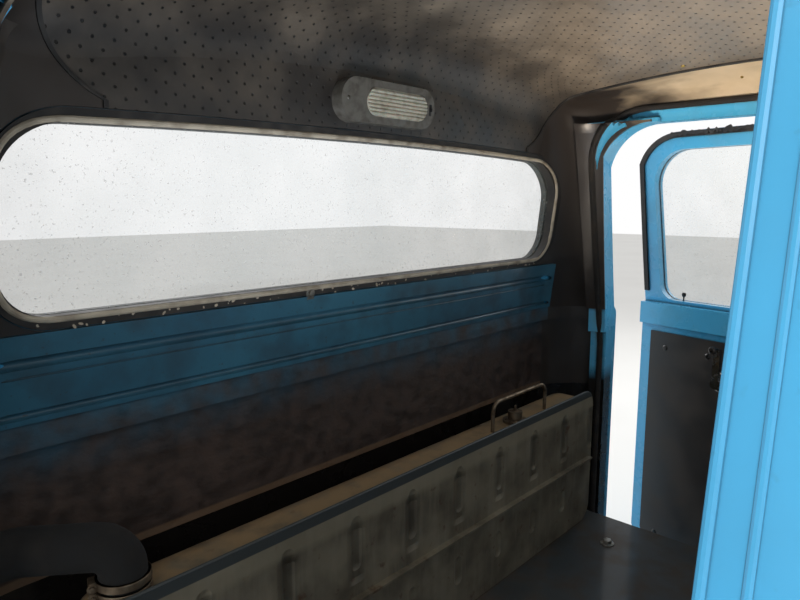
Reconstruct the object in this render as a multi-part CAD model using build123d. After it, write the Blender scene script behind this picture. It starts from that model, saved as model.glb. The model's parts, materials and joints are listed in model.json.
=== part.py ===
from build123d import *
import math
import os

# Pickup truck cab, 1950s style, standing on its four frame mounts.
# Millimetres. +X is the vehicle's left, +Y its rear, +Z up.
# The origin is the centre of the four mount bolts, in the plane under the mounts.

# Lower body, from the rocker's edge to the shoulder under the windows
BODY_HALF_WIDTH = 790
BODY_REAR = 715
BODY_REAR_RADIUS = 190
BODY_FRONT = -640
BODY_FRONT_RADIUS = 170
BODY_FRONT_BOW = 5000
BODY_BOTTOM = 10
SHOULDER_Z = 780
SHOULDER_STEP = 15
SHOULDER_RADIUS = 24

# Greenhouse, from the shoulder to the gutters, and the roof above it
GUTTER_Z = 1235
GUTTER_HALF_WIDTH = 690
GUTTER_REAR = 665
GUTTER_REAR_RADIUS = 150
GUTTER_FRONT = -340
GUTTER_FRONT_RADIUS = 120
SCREEN_BASE_FRONT = -470
SCREEN_BASE_RADIUS = 150
SCREEN_BOW = 2200
ROOF_CROWN_Z = 1400
ROOF_CROWN_Y = 170
ROOF_CROWN_RADIUS = 3000
ROOF_EDGE_RADIUS = 120
GUTTER_REACH = 14
GUTTER_LIP = 9
GUTTER_SHEET = 3

# Wall and board thicknesses
WALL = 28
PILLAR = 60
DOOR_LOWER = 58
DOOR_FRAME = 34
BOARD = 4
GLASS = 5
GLASS_DEPTH = 10

# Door openings, in side view, and the doors in them
DOOR_REAR = 545
DOOR_FRONT = -330
DOOR_FRONT_UPPER = -150
DOOR_BOTTOM = 72
DOOR_TOP = 1226
DOGLEG_REAR_Z = 765
DOGLEG_FRONT_Z = 735
DOOR_CORNER_TOP_REAR = 130
DOOR_CORNER_TOP_FRONT = 60
DOOR_CORNER_BOTTOM = 70
DOGLEG_RADIUS = 45
DOOR_GAP = 6
FRAME_WIDTH = 42
PANE_SILL_Z = 790
VENT_BAR_Y = 30
VENT_BAR_WIDTH = 18
PANE_LAP = 8
JAMB_DEPTH = 34
JAMB_LAP = 10

# Door hinges: a barrel just outside the skin, at the door's front edge
HINGE_OUT = 12
HINGE_BARREL_RADIUS = 8
HINGE_PIN_RADIUS = 4
HINGE_PIN_PLAY = 0.05
HINGE_HEIGHT = 70
HINGE_LEAF = 6
HINGE_LEAF_LENGTH = 75
HINGE_Z = (220, 640)
DOOR_ANGLE_LEFT = 13
DOOR_ANGLE_RIGHT = 60

# Rear window
REAR_WINDOW_WIDTH = 1220
REAR_WINDOW_HEIGHT = 240
REAR_WINDOW_BOTTOM = 912
REAR_WINDOW_TOP_RADIUS = 95
REAR_WINDOW_BOTTOM_RADIUS = 60
REAR_WINDOW_ARCH = 12
SEAL_WIDTH = 16

# Windscreen opening, in side view
SCREEN_BOTTOM = 806
SCREEN_TOP = 1205
SCREEN_SIDE_Y = -207
SCREEN_CORNER_RADIUS = 55

# Rear inner panel and its swages, (height, radius) each, and the board under it
SWAGES = ((859, 7), (842, 1.5), (795, 5))
INNER_PANEL = 8
INNER_PANEL_BOTTOM = 783
BOARD_BOTTOM = 570
REAR_PANEL_SPLIT = 640

# Floor
FLOOR_Z = 60
FLOOR_SHEET = 6
TOE_Y = -460
TOE_TOP_Z = 300
TUNNEL_FRONT_RADIUS = 190
TUNNEL_REAR_RADIUS = 70
TUNNEL_REAR = 58

# Mounts
MOUNT_X = 430
MOUNT_Y = 400
MOUNT_BOLT_RADIUS = 8
MOUNT_RADIUS = 38
MOUNT_HEIGHT = 25
CROSS_WIDTH = 90
CROSS_SHEET = 5

# Seat riser and the shelf for the fuel tank behind it
RISER_HALF_WIDTH = 620
RISER_FRONT = 60
RISER_TOP = 280
RISER_SHEET = 5
RISER_BOLT_RADIUS = 6
RISER_BOLT_X = 500
RISER_BOLT_Y = (130, 410)

# Fuel tank
TANK_HALF_WIDTH = 575
TANK_FRONT = 508
TANK_REAR = 624
TANK_REAR_BEND = 60
TANK_TOP = 590
TANK_CORNER = 28
TANK_FLANGE = 14
TANK_FLANGE_SHEET = 5
TANK_SEAM_Z = 440
TANK_BEADS = 8
TANK_BEAD_PITCH = 130
TANK_BEAD_RADIUS = 18
TANK_BEAD_DEPTH = 4
TANK_BEAD_TOP = 28
TANK_SEAM = 12
TANK_SADDLE_X = 400
FILLER_X = -534
FILLER_Y = 545
FILLER_SINK = 3
FILLER_RADIUS = 28
FILLER_WALL_Y = 620
FILLER_WALL_Z = 650
FILLER_CAP_RADIUS = 38
FILLER_CAP_DEPTH = 14
FILLER_BEND = 30
FILLER_TRIM_GAP = 2
CLAMP_REACH = (4, 17)
CLAMP_WIDTH = 9
CLAMP_HEIGHT = 3
SENDER_PLATE = (26, 6)
SENDER_BODY = (15, 24)
LOOP_BEND = 22
LOOP_X = (216, 418)
LOOP_Y = 536
LOOP_HEIGHT = 60
LOOP_RADIUS = 4
SENDER_X = 300
SENDER_Y = 537

# Dome lamp
LAMP_Z = 1215
LAMP_WIDTH = 230
LAMP_HEIGHT = 70
LAMP_DEPTH = 24
LENS_WIDTH = 150
LENS_HEIGHT = 46
LENS_X = 16
LENS_RIBS = 7
LENS_RIB_PITCH = 6

# Headliner
LINER_SPLIT = 556
LINER_SPLIT_LOW = 478
LINER_SPLIT_RISE = 92
LINER_BEND_Z = 1172
LINER_BOTTOM = 1110
LINER_WINDOW_GAP = 1.5
LINER_HEAD_GAP = 4
WINDOW_SIDE_TRIM_X = 560
BEAD_WIDTH = 6
BEAD_HEIGHT = 3

# Firewall and the swages pressed into it and into the back panel
FIREWALL_HALF_WIDTH = 600
FIREWALL_SWAGE_X = (-480, -360, -240, 240, 480)
FIREWALL_SWAGE_Z = (360, 690)
BACK_SWAGE_Z = (240, 340, 440, 540, 640)
BACK_SWAGE_HALF_WIDTH = 520
PANEL_SWAGE_RADIUS = 16
PANEL_SWAGE_DEPTH = 5

# Dash
DASH_REAR = -395
DASH_BOTTOM = 600
DASH_TOP = 775
DASH_SHEET = 24
CLUSTER_RADIUS = 78
GLOVEBOX_X = (-560, -240)
GLOVEBOX_Z = (625, 725)
GLOVEBOX_GAP = 5
GLOVEBOX_KNOB = (9, 14, 22)
BIN_DEPTH = 150
LID_SHEET = 12
LID_PIN_HEIGHT = 14
LID_PIN_LENGTH = 14
LID_PIN_RADIUS = 2.5
CLUSTER_Z = 684
CLUSTER_DEPTH = 18
CLUSTER_FACE = 8

# Steering
STEER_X = 380
STEER_Y = -130
STEER_Z = 780
STEER_TILT = 38
WHEEL_RADIUS = 212
RIM_RADIUS = 12
COLUMN_RADIUS = 24
COLUMN_START = 34
COLUMN_LENGTH = 760
SHAFT_END = 60
HUB_RADIUS = 36
HUB_HEIGHT = 18
SPOKE_RADIUS = 8
SPOKE_ANGLES = (90, 210, 330)
HUB_CAP_HEIGHT = 8
HUB_WALL = 6
SHAFT_RADIUS = 9
BRACKET_WIDTH = 30
BRACKET_FOOT_Z = 430

# Pedals, one row each: x, place up the toe board, height off it, pad width, pad length
PEDALS = (
    (470, 120, 90, 70, 60),
    (330, 120, 90, 70, 60),
    (215, 110, 40, 60, 170),
)
PEDAL_SHEET = 10
PEDAL_ARM_RADIUS = 8

# Gear lever, from its boot on the tunnel to its knob
LEVER_HOLE_RADIUS = 40
LEVER_FOOT = (0, -250, 100)
LEVER_BOOT_TOP = (0, -250, 300)
LEVER_BEND = (0, -250, 290)
LEVER_KNOB = (50, -120, 565)
LEVER_RADIUS = 8
LEVER_KNOB_RADIUS = 24

# Door trim board, handles and window winder, as (y range, z range) or (y, z)
TRIM_MARGIN = 36
TRIM_SILL_GAP = 20
HANDLE_Y = (410, 520)
HANDLE_FEET_Y = ((425, 441), (490, 506))
HANDLE_Z = (690, 706)
HANDLE_OUT = 10
WINDER_PLACE = (300, 600)
WINDER_ARM = ((292, 308), (600, 690))
WINDER_RADIUS = 12
INNER_HANDLE_PLACE = (120, 640)
INNER_HANDLE_ARM = ((110, 220), (632, 648))
INNER_HANDLE_RADIUS = 10
FITTING_REACH = 30
FITTING_SHEET = 10
SEAL_INSET = (2, 14)
SEAL_SHEET = 6
SEAL_START = 20

# Wipers, parked along the foot of the windscreen
WIPER_PIVOT_X = (-60, 330)
WIPER_ARM_REACH = 175
WIPER_BLADE_HALF_LENGTH = 150
WIPER_BLADE_Z = 846
WIPER_PIVOT_Z = 800
WIPER_PIVOT_RADIUS = 9
WIPER_PIVOT_RISE = 12
WIPER_LAYER = (-9, -3)

# Cowl vent
VENT_HALF_WIDTH = 170
VENT_FRONT = -600
VENT_REAR = -520
VENT_GAP = 5
VENT_SHEET = 5
VENT_PIN_SETBACK = 22
VENT_PIN_DEPTH = 12
VENT_PIN_RADIUS = 3

HINGE_X = BODY_HALF_WIDTH + HINGE_OUT
HINGE_Y = DOOR_FRONT
FAR = 2000


def block(x_range, y_range, z_range):
    """A box given by its limits."""
    ranges = (x_range, y_range, z_range)
    sizes = [high - low for low, high in ranges]
    middle = [(high + low) / 2 for low, high in ranges]
    return Pos(*middle) * Box(*sizes)


def rod(start, end, radius):
    """A round bar between two points."""
    start = Vector(start)
    axis = Vector(end) - start
    plane = Plane(origin=start, z_dir=axis.normalized())
    return extrude(plane * Circle(radius), axis.length)


def swage(start, end, radius):
    """A round bar with ball ends, the form of a pressed groove."""
    return rod(start, end, radius) + Pos(*start) * Sphere(radius) + Pos(*end) * Sphere(radius)


def side_prism(points, radii, x_range):
    """A side view outline, (y, z) points, run along X."""
    outline = FilletPolyline(*points, radius=radii, close=True)
    face = make_face(outline)
    return Pos(x_range[0], 0, 0) * extrude(Plane.YZ * face, x_range[1] - x_range[0])


def plan(half_width, rear, rear_radius, front, front_radius, bow):
    """Plan outline with flat sides, rounded rear corners and a bowed front."""
    bow_y = front + bow
    reach = bow - front_radius
    corner_x = half_width - front_radius
    corner_y = bow_y - math.sqrt(reach**2 - corner_x**2)
    lean_x = corner_x / reach
    lean_y = (corner_y - bow_y) / reach
    touch = (lean_x * bow, bow_y + lean_y * bow)
    middle = Vector(lean_x + 1, lean_y, 0).normalized() * front_radius
    diagonal = rear_radius * math.sqrt(0.5)
    rear_x = half_width - rear_radius
    rear_y = rear - rear_radius
    edges = Line((rear_x, rear), (-rear_x, rear))
    for side in (1, -1):
        edges += ThreePointArc(
            (side * half_width, rear_y),
            (side * (rear_x + diagonal), rear_y + diagonal),
            (side * rear_x, rear),
        )
        edges += Line((side * half_width, rear_y), (side * half_width, corner_y))
        edges += ThreePointArc(
            (side * half_width, corner_y),
            (side * (corner_x + middle.X), corner_y + middle.Y),
            (side * touch[0], touch[1]),
        )
    edges += ThreePointArc((touch[0], touch[1]), (0, front), (-touch[0], touch[1]))
    return make_face(edges)


def envelope(inset):
    """The cab's outer form, moved inwards by inset."""
    lower_plan = plan(
        BODY_HALF_WIDTH - inset,
        BODY_REAR - inset,
        BODY_REAR_RADIUS - inset,
        BODY_FRONT + inset,
        BODY_FRONT_RADIUS - inset,
        BODY_FRONT_BOW - inset,
    )
    start_z = BODY_BOTTOM - max(inset, 0)
    lower = Pos(0, 0, start_z) * extrude(lower_plan, SHOULDER_Z - inset - start_z)
    if inset < SHOULDER_RADIUS:
        shoulder = lower.faces().sort_by(Axis.Z)[-1].edges()
        lower = fillet(shoulder, SHOULDER_RADIUS - inset)
    top_z = ROOF_CROWN_Z + 60
    rise = (top_z - SHOULDER_Z) / (GUTTER_Z - SHOULDER_Z)
    base = (
        BODY_HALF_WIDTH - SHOULDER_STEP - inset,
        BODY_REAR - SHOULDER_STEP - inset,
        BODY_REAR_RADIUS - SHOULDER_STEP - inset,
        SCREEN_BASE_FRONT + inset,
        SCREEN_BASE_RADIUS - inset,
        SCREEN_BOW - inset,
    )
    gutter = (
        GUTTER_HALF_WIDTH - inset,
        GUTTER_REAR - inset,
        GUTTER_REAR_RADIUS - inset,
        GUTTER_FRONT + inset,
        GUTTER_FRONT_RADIUS - inset,
        SCREEN_BOW - inset,
    )
    crown = [low + (high - low) * rise for low, high in zip(base, gutter)]
    base_plan = plan(*base)
    upper = loft([Pos(0, 0, SHOULDER_Z) * base_plan, Pos(0, 0, top_z) * plan(*crown)])
    dome_z = ROOF_CROWN_Z - ROOF_CROWN_RADIUS
    upper &= Pos(0, ROOF_CROWN_Y, dome_z) * Sphere(ROOF_CROWN_RADIUS - inset)
    roof = upper.faces().sort_by(Axis.Z)[-1]
    upper = fillet(roof.edges(), ROOF_EDGE_RADIUS - inset)
    neck = Pos(0, 0, start_z) * extrude(base_plan, SHOULDER_Z - start_z)
    return lower + neck + upper


ENVELOPES = {}


def form(inset):
    """The cab's form at an inset, built once."""
    if inset not in ENVELOPES:
        ENVELOPES[inset] = envelope(inset)
    return ENVELOPES[inset]


def layer(outer, inner):
    """The skin between two insets of the cab's form."""
    return form(outer) - form(inner)


def door_outline(grow, x_range):
    """The left door opening's side view, grown outwards all round, as a prism."""
    points = [
        (DOOR_FRONT - grow, DOOR_BOTTOM - grow),
        (DOOR_REAR + grow, DOOR_BOTTOM - grow),
        (DOOR_REAR + grow, DOOR_TOP + grow),
        (DOOR_FRONT_UPPER - grow, DOOR_TOP + grow),
        (DOOR_FRONT_UPPER - grow, DOGLEG_REAR_Z + grow),
        (DOOR_FRONT - grow, DOGLEG_FRONT_Z + grow),
    ]
    radii = [
        DOOR_CORNER_BOTTOM + grow,
        DOOR_CORNER_BOTTOM + grow,
        DOOR_CORNER_TOP_REAR + grow,
        DOOR_CORNER_TOP_FRONT + grow,
        DOGLEG_RADIUS - grow,
        DOGLEG_RADIUS + grow,
    ]
    prism = side_prism(points, radii, x_range)
    reach = math.hypot(HINGE_OUT, DOOR_REAR - HINGE_Y) + grow
    swing = Pos(HINGE_X, HINGE_Y, 0) * Cylinder(reach, 2 * FAR)
    return prism & swing


def pane_outline(grow, x_range):
    """The door's glazed opening, grown outwards all round, as two prisms."""
    inner = FRAME_WIDTH + DOOR_GAP
    top = DOOR_TOP - inner + grow
    bottom = PANE_SILL_Z - grow
    half_bar = VENT_BAR_WIDTH / 2
    vent = (DOOR_FRONT_UPPER + inner - grow, VENT_BAR_Y - half_bar + grow)
    main = (VENT_BAR_Y + half_bar - grow, DOOR_REAR - inner - 8 + grow)
    vent_points = [(vent[0], bottom), (vent[1], bottom), (vent[1], top), (vent[0], top)]
    main_points = [(main[0], bottom), (main[1], bottom), (main[1], top), (main[0], top)]
    corner = 16 + grow
    vent_radii = [24 + grow, corner, corner, 30 + grow]
    main_radii = [corner, 40 + grow, 90 + grow, corner]
    front = side_prism(vent_points, vent_radii, x_range)
    rear = side_prism(main_points, main_radii, x_range)
    return front, rear


def window_outline(grow, y_range):
    """The rear window's outline from behind, grown outwards, as a prism."""
    half = REAR_WINDOW_WIDTH / 2 + grow
    low = REAR_WINDOW_BOTTOM - grow
    high = REAR_WINDOW_BOTTOM + REAR_WINDOW_HEIGHT + grow
    face = make_face(
        Line((-half, low), (half, low))
        + Line((half, low), (half, high - REAR_WINDOW_ARCH))
        + ThreePointArc(
            (half, high - REAR_WINDOW_ARCH), (0, high), (-half, high - REAR_WINDOW_ARCH)
        )
        + Line((-half, high - REAR_WINDOW_ARCH), (-half, low))
    )
    corners = face.vertices().sort_by(Axis.Y)
    face = fillet(corners[2:], REAR_WINDOW_TOP_RADIUS + grow)
    face = fillet(face.vertices().sort_by(Axis.Y)[:2], REAR_WINDOW_BOTTOM_RADIUS + grow)
    return Pos(0, y_range[1], 0) * extrude(Plane.XZ * face, y_range[1] - y_range[0])


def screen_outline(grow):
    """The windscreen opening's side view, grown outwards, as a prism."""
    low = SCREEN_BOTTOM - grow
    high = SCREEN_TOP + grow
    rear = SCREEN_SIDE_Y + grow
    points = [(-FAR, low), (rear, low), (rear, high), (-FAR, high)]
    corner = SCREEN_CORNER_RADIUS + grow
    return side_prism(points, [0, corner, corner, 0], (-FAR, FAR))


def liner_prism(grow):
    """The centre headliner's outline seen from behind, curved in towards the window."""
    low_x = LINER_SPLIT_LOW + grow
    high_x = LINER_SPLIT + grow
    bend_z = LINER_BEND_Z + LINER_SPLIT_RISE
    bend = ((low_x + 2 * high_x) / 3, LINER_BEND_Z + LINER_SPLIT_RISE * 0.42)
    edges = Line((-low_x, LINER_BOTTOM), (low_x, LINER_BOTTOM))
    edges += Line((-high_x, FAR), (high_x, FAR))
    for side in (1, -1):
        edges += Line((side * low_x, LINER_BOTTOM), (side * low_x, LINER_BEND_Z))
        edges += ThreePointArc(
            (side * low_x, LINER_BEND_Z), (side * bend[0], bend[1]), (side * high_x, bend_z)
        )
        edges += Line((side * high_x, bend_z), (side * high_x, FAR))
    return Pos(0, FAR, 0) * extrude(Plane.XZ * make_face(edges), 2 * FAR)


def swung(shape, side, angle):
    """A closed left-hand piece, put on a side and opened about its hinge."""
    if side < 0:
        shape = mirror(shape, about=Plane.YZ)
    axis = Axis((side * HINGE_X, HINGE_Y, 0), (0, 0, 1))
    return shape.rotate(axis, -side * angle)


def pair(shape):
    """A left-hand shape and its mirror image."""
    return shape, mirror(shape, about=Plane.YZ)


PARTS = {}
EVERYWHERE = (-FAR, FAR)
LEFT = (0, FAR)
wall = layer(0, WALL)
post = layer(0, PILLAR)
left_door_hole = door_outline(0, LEFT)
door_holes = left_door_hole + mirror(left_door_hole, about=Plane.YZ)
window_hole = window_outline(SEAL_WIDTH, (BODY_REAR - 200, FAR))
screen_hole = screen_outline(0)
foot_z = SHOULDER_Z - WALL

# Roof with the windscreen header, and its gutters
door_head = (
    DOOR_FRONT_UPPER + DOOR_CORNER_TOP_FRONT,
    DOOR_REAR - DOOR_CORNER_TOP_REAR - JAMB_LAP,
)
roof_zone = block(EVERYWHERE, EVERYWHERE, (GUTTER_Z, FAR))
roof_zone += block(EVERYWHERE, (-FAR, SCREEN_SIDE_Y), (SCREEN_TOP, FAR))
roof_zone += block(EVERYWHERE, door_head, (DOOR_TOP, FAR))
PARTS["roof_panel"] = wall & roof_zone
gutter_run = (SCREEN_SIDE_Y - 60, DOOR_REAR + 20)
gutter_floor = GUTTER_Z - GUTTER_SHEET
gutter = layer(-GUTTER_REACH, 0) & block(LEFT, gutter_run, (gutter_floor, GUTTER_Z))
gutter_lip = layer(-GUTTER_REACH, GUTTER_SHEET - GUTTER_REACH)
gutter += gutter_lip & block(LEFT, gutter_run, (gutter_floor, GUTTER_Z + GUTTER_LIP))
PARTS["gutters"] = Compound(children=list(pair(gutter)))

# Back panel, and the rear corners with the door jambs
behind_door = (DOOR_REAR, FAR)
body_height = (BODY_BOTTOM, GUTTER_Z)
back = wall & block((-REAR_PANEL_SPLIT, REAR_PANEL_SPLIT), behind_door, body_height)
for z in BACK_SWAGE_Z:
    y = BODY_REAR + PANEL_SWAGE_RADIUS - PANEL_SWAGE_DEPTH
    back -= swage((-BACK_SWAGE_HALF_WIDTH, y, z), (BACK_SWAGE_HALF_WIDTH, y, z), PANEL_SWAGE_RADIUS)
PARTS["back_panel"] = back - window_hole
above_sill = (DOOR_BOTTOM, GUTTER_Z)
corner_x = (REAR_PANEL_SPLIT, FAR)
jamb_start = DOOR_REAR - DOOR_CORNER_TOP_REAR - JAMB_LAP
jamb_end = DOOR_REAR + JAMB_DEPTH
corner = wall & (
    block(corner_x, behind_door, body_height) + block(corner_x, (jamb_start, FAR), above_sill)
)
corner += post & (
    block(corner_x, (DOOR_REAR, jamb_end), body_height)
    + block(corner_x, (jamb_start, jamb_end), above_sill)
)
corner_left, corner_right = pair(corner - left_door_hole)
filler_wall = Vector(-BODY_HALF_WIDTH, FILLER_WALL_Y, FILLER_WALL_Z)
filler_hole = rod(filler_wall - Vector(60, 0, 0), filler_wall + Vector(90, 0, 0), FILLER_RADIUS)
PARTS["rear_corner_left"] = corner_left
PARTS["rear_corner_right"] = corner_right - filler_hole

# Hinge pillars: each is a side of the cowl with the windscreen pillar on it
pillar_end = DOOR_FRONT_UPPER + DOOR_CORNER_TOP_FRONT
foot_height = (BODY_BOTTOM, foot_z)
side_x = (FIREWALL_HALF_WIDTH, FAR)
pillar_zone = block(LEFT, (-FAR, DOOR_FRONT), foot_height)
pillar_zone += block(LEFT, (DOOR_FRONT, pillar_end), (DOOR_BOTTOM, foot_z))
pillar_zone += block(LEFT, (SCREEN_SIDE_Y, pillar_end), (foot_z, GUTTER_Z))
post_front = DOOR_FRONT - PILLAR
post_zone = block(side_x, (post_front, DOOR_FRONT), foot_height)
post_zone += block(side_x, (DOOR_FRONT, pillar_end), (DOOR_BOTTOM, foot_z))
post_zone += block(side_x, (SCREEN_SIDE_Y, pillar_end), (foot_z, GUTTER_Z))
screen_foot = block(side_x, (post_front, SCREEN_SIDE_Y), (foot_z, SCREEN_BOTTOM))
pillar_zone += screen_foot
firewall_x = (-FIREWALL_HALF_WIDTH, FIREWALL_HALF_WIDTH)
firewall_y = (-FAR, BODY_FRONT + PILLAR)
pillar = (wall & pillar_zone) + (post & post_zone) - left_door_hole
pillar -= block(firewall_x, firewall_y, foot_height)
PARTS["hinge_pillar_left"], PARTS["hinge_pillar_right"] = pair(pillar)

# Cowl top with the vent's opening, and the firewall under it
cowl_zone = block(EVERYWHERE, (-FAR, SCREEN_SIDE_Y), (foot_z, SCREEN_BOTTOM))
vent_x = (-VENT_HALF_WIDTH, VENT_HALF_WIDTH)
vent_hole = block(vent_x, (VENT_FRONT, VENT_REAR), (foot_z - WALL, SHOULDER_Z + WALL))
cowl = (wall & cowl_zone) - vent_hole
for foot in pair(screen_foot):
    cowl -= foot
vent_pin_y = VENT_FRONT + VENT_PIN_SETBACK
vent_pin_z = SHOULDER_Z - VENT_PIN_DEPTH
lid_half = VENT_HALF_WIDTH - VENT_GAP
for side in (1, -1):
    pin_root = (side * (VENT_HALF_WIDTH + 5), vent_pin_y, vent_pin_z)
    pin_tip = (side * (VENT_HALF_WIDTH - 20), vent_pin_y, vent_pin_z)
    cowl += rod(pin_root, pin_tip, VENT_PIN_RADIUS)
PARTS["cowl_top"] = cowl
firewall = wall & block(firewall_x, firewall_y, (TOE_TOP_Z, foot_z))
for x in FIREWALL_SWAGE_X:
    y = BODY_FRONT + x**2 / (2 * BODY_FRONT_BOW) - PANEL_SWAGE_RADIUS + PANEL_SWAGE_DEPTH
    firewall -= swage((x, y, FIREWALL_SWAGE_Z[0]), (x, y, FIREWALL_SWAGE_Z[1]), PANEL_SWAGE_RADIUS)
PARTS["firewall"] = firewall
lid = block(
    (-lid_half, lid_half),
    (vent_pin_y - 10, VENT_REAR - VENT_GAP),
    (SHOULDER_Z - VENT_SHEET, SHOULDER_Z),
)
for side in (1, -1):
    knuckle_outer = (side * lid_half, vent_pin_y, vent_pin_z)
    knuckle_inner = (side * (lid_half - 25), vent_pin_y, vent_pin_z)
    lid += rod(knuckle_outer, knuckle_inner, VENT_PIN_DEPTH - VENT_SHEET + 1)
for side in (1, -1):
    knuckle_outer = (side * (lid_half + 1), vent_pin_y, vent_pin_z)
    knuckle_inner = (side * (lid_half - 30), vent_pin_y, vent_pin_z)
    lid -= rod(knuckle_outer, knuckle_inner, VENT_PIN_RADIUS + HINGE_PIN_PLAY)
PARTS["cowl_vent_lid"] = lid

# Sills, and the floor with its toe board and tunnel
sill = post & block(LEFT, (DOOR_FRONT, DOOR_REAR), (BODY_BOTTOM, DOOR_BOTTOM))
PARTS["sill_left"], PARTS["sill_right"] = pair(sill)
floor_top = FLOOR_Z + FLOOR_SHEET
floor_profile = [
    (BODY_REAR, FLOOR_Z),
    (TOE_Y, FLOOR_Z),
    (BODY_FRONT, TOE_TOP_Z),
    (BODY_FRONT + FLOOR_SHEET * 1.4, TOE_TOP_Z),
    (TOE_Y + FLOOR_SHEET * 0.6, floor_top),
    (BODY_REAR, floor_top),
]
floor_space = form(PILLAR) + (
    form(WALL) & (block(EVERYWHERE, (-FAR, post_front), EVERYWHERE)
    + block(EVERYWHERE, (jamb_end, FAR), EVERYWHERE))
)
floor_space += form(0) & block(firewall_x, firewall_y, (BODY_BOTTOM, TOE_TOP_Z))
floor = side_prism(floor_profile, [0] * 6, EVERYWHERE) & floor_space
cab_side = side_prism(
    [(TUNNEL_REAR, FLOOR_Z), (TOE_Y, FLOOR_Z), (BODY_FRONT, TOE_TOP_Z), (TUNNEL_REAR, SHOULDER_Z)],
    [0] * 4,
    EVERYWHERE,
)
tunnel_length = TUNNEL_REAR - BODY_FRONT
tunnel_plane = Plane(origin=(0, BODY_FRONT, FLOOR_Z), x_dir=(1, 0, 0), z_dir=(0, 1, 0))
tunnel = {}
for cut in (0, FLOOR_SHEET):
    front_ring = tunnel_plane * Circle(TUNNEL_FRONT_RADIUS - cut)
    rear_ring = tunnel_plane.offset(tunnel_length - cut) * Circle(TUNNEL_REAR_RADIUS - cut)
    tunnel[cut] = loft([front_ring, rear_ring])
floor = (floor - tunnel[0]) + ((tunnel[0] - tunnel[FLOOR_SHEET]) & cab_side)
lever_boot = rod(LEVER_FOOT, LEVER_BOOT_TOP, LEVER_HOLE_RADIUS)
PARTS["floor_pan"] = floor - lever_boot

# Cross members under the floor, and the rubber mounts on the bolts
members = []
mounts = []
sill_inner = BODY_HALF_WIDTH - PILLAR
for y in (-MOUNT_Y, MOUNT_Y):
    half = CROSS_WIDTH / 2
    member = block((-sill_inner, sill_inner), (y - half, y + half), (MOUNT_HEIGHT, FLOOR_Z))
    member -= block(
        (-FAR, FAR),
        (y - half + CROSS_SHEET, y + half - CROSS_SHEET),
        (MOUNT_HEIGHT + CROSS_SHEET, FLOOR_Z),
    )
    for x in (-MOUNT_X, MOUNT_X):
        bolt = rod((x, y, 0), (x, y, FLOOR_Z), MOUNT_BOLT_RADIUS)
        member -= bolt
        mounts.append(rod((x, y, 0), (x, y, MOUNT_HEIGHT), MOUNT_RADIUS) - bolt)
    members.append(member)
PARTS["cross_members"] = Compound(children=members)
PARTS["cab_mounts"] = Compound(children=mounts)

# Seat riser, which is also the fuel tank's shelf
riser_x = (-RISER_HALF_WIDTH, RISER_HALF_WIDTH)
riser = block(riser_x, (RISER_FRONT, BODY_REAR), (floor_top, RISER_TOP))
riser -= block(
    (-RISER_HALF_WIDTH + RISER_SHEET, RISER_HALF_WIDTH - RISER_SHEET),
    (RISER_FRONT + RISER_SHEET, BODY_REAR),
    (floor_top, RISER_TOP - RISER_SHEET),
)
for x in (-RISER_BOLT_X, RISER_BOLT_X):
    for y in RISER_BOLT_Y:
        riser -= rod((x, y, floor_top), (x, y, RISER_TOP + 1), RISER_BOLT_RADIUS)
tank_bottom = RISER_TOP + TANK_FLANGE + 2
for x in (-TANK_SADDLE_X, TANK_SADDLE_X):
    riser += block(
        (x - 30, x + 30), (TANK_FRONT + 10, TANK_REAR - 10), (RISER_TOP - 1, tank_bottom)
    )
PARTS["seat_riser"] = riser & form(WALL)

# Fuel tank with its seam flange and pressed beads
tank_x = (-TANK_HALF_WIDTH, TANK_HALF_WIDTH)
tank_z = (tank_bottom, TANK_TOP)
tank = block(tank_x, (TANK_FRONT, TANK_REAR), tank_z)
rear_edges = tank.faces().sort_by(Axis.Y)[-1].edges().filter_by(Axis.X)
tank = fillet(rear_edges.sort_by(Axis.Z)[-1], TANK_REAR_BEND)
tank = fillet(tank.edges().filter_by(Axis.Y), TANK_CORNER)
tank = fillet(tank.faces().sort_by(Axis.Y)[-1].edges().sort_by(Axis.Z)[0], TANK_CORNER / 2)
lip = block(
    (-TANK_HALF_WIDTH - TANK_FLANGE, TANK_HALF_WIDTH + TANK_FLANGE),
    (TANK_FRONT - TANK_FLANGE_SHEET, TANK_FRONT),
    (tank_bottom - TANK_FLANGE, TANK_TOP + TANK_FLANGE),
)
tank += fillet(lip.edges().filter_by(Axis.Y), TANK_CORNER + TANK_FLANGE)
bead_y = TANK_FRONT - TANK_FLANGE_SHEET - TANK_BEAD_RADIUS + TANK_BEAD_DEPTH
for index in range(TANK_BEADS):
    bead_x = (index - (TANK_BEADS - 1) / 2) * TANK_BEAD_PITCH
    for low, high in (
        (TANK_SEAM_Z + 2 * TANK_BEAD_TOP, TANK_TOP - TANK_BEAD_TOP),
        (tank_bottom + 2 * TANK_BEAD_TOP, TANK_SEAM_Z - 2 * TANK_BEAD_TOP),
    ):
        tank -= swage((bead_x, bead_y, low), (bead_x, bead_y, high), TANK_BEAD_RADIUS)
tank += block(
    (-TANK_HALF_WIDTH, TANK_HALF_WIDTH),
    (TANK_FRONT - TANK_FLANGE_SHEET - TANK_SEAM, TANK_FRONT),
    (TANK_SEAM_Z - 2, TANK_SEAM_Z + 2),
)
PARTS["fuel_tank"] = tank

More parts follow.
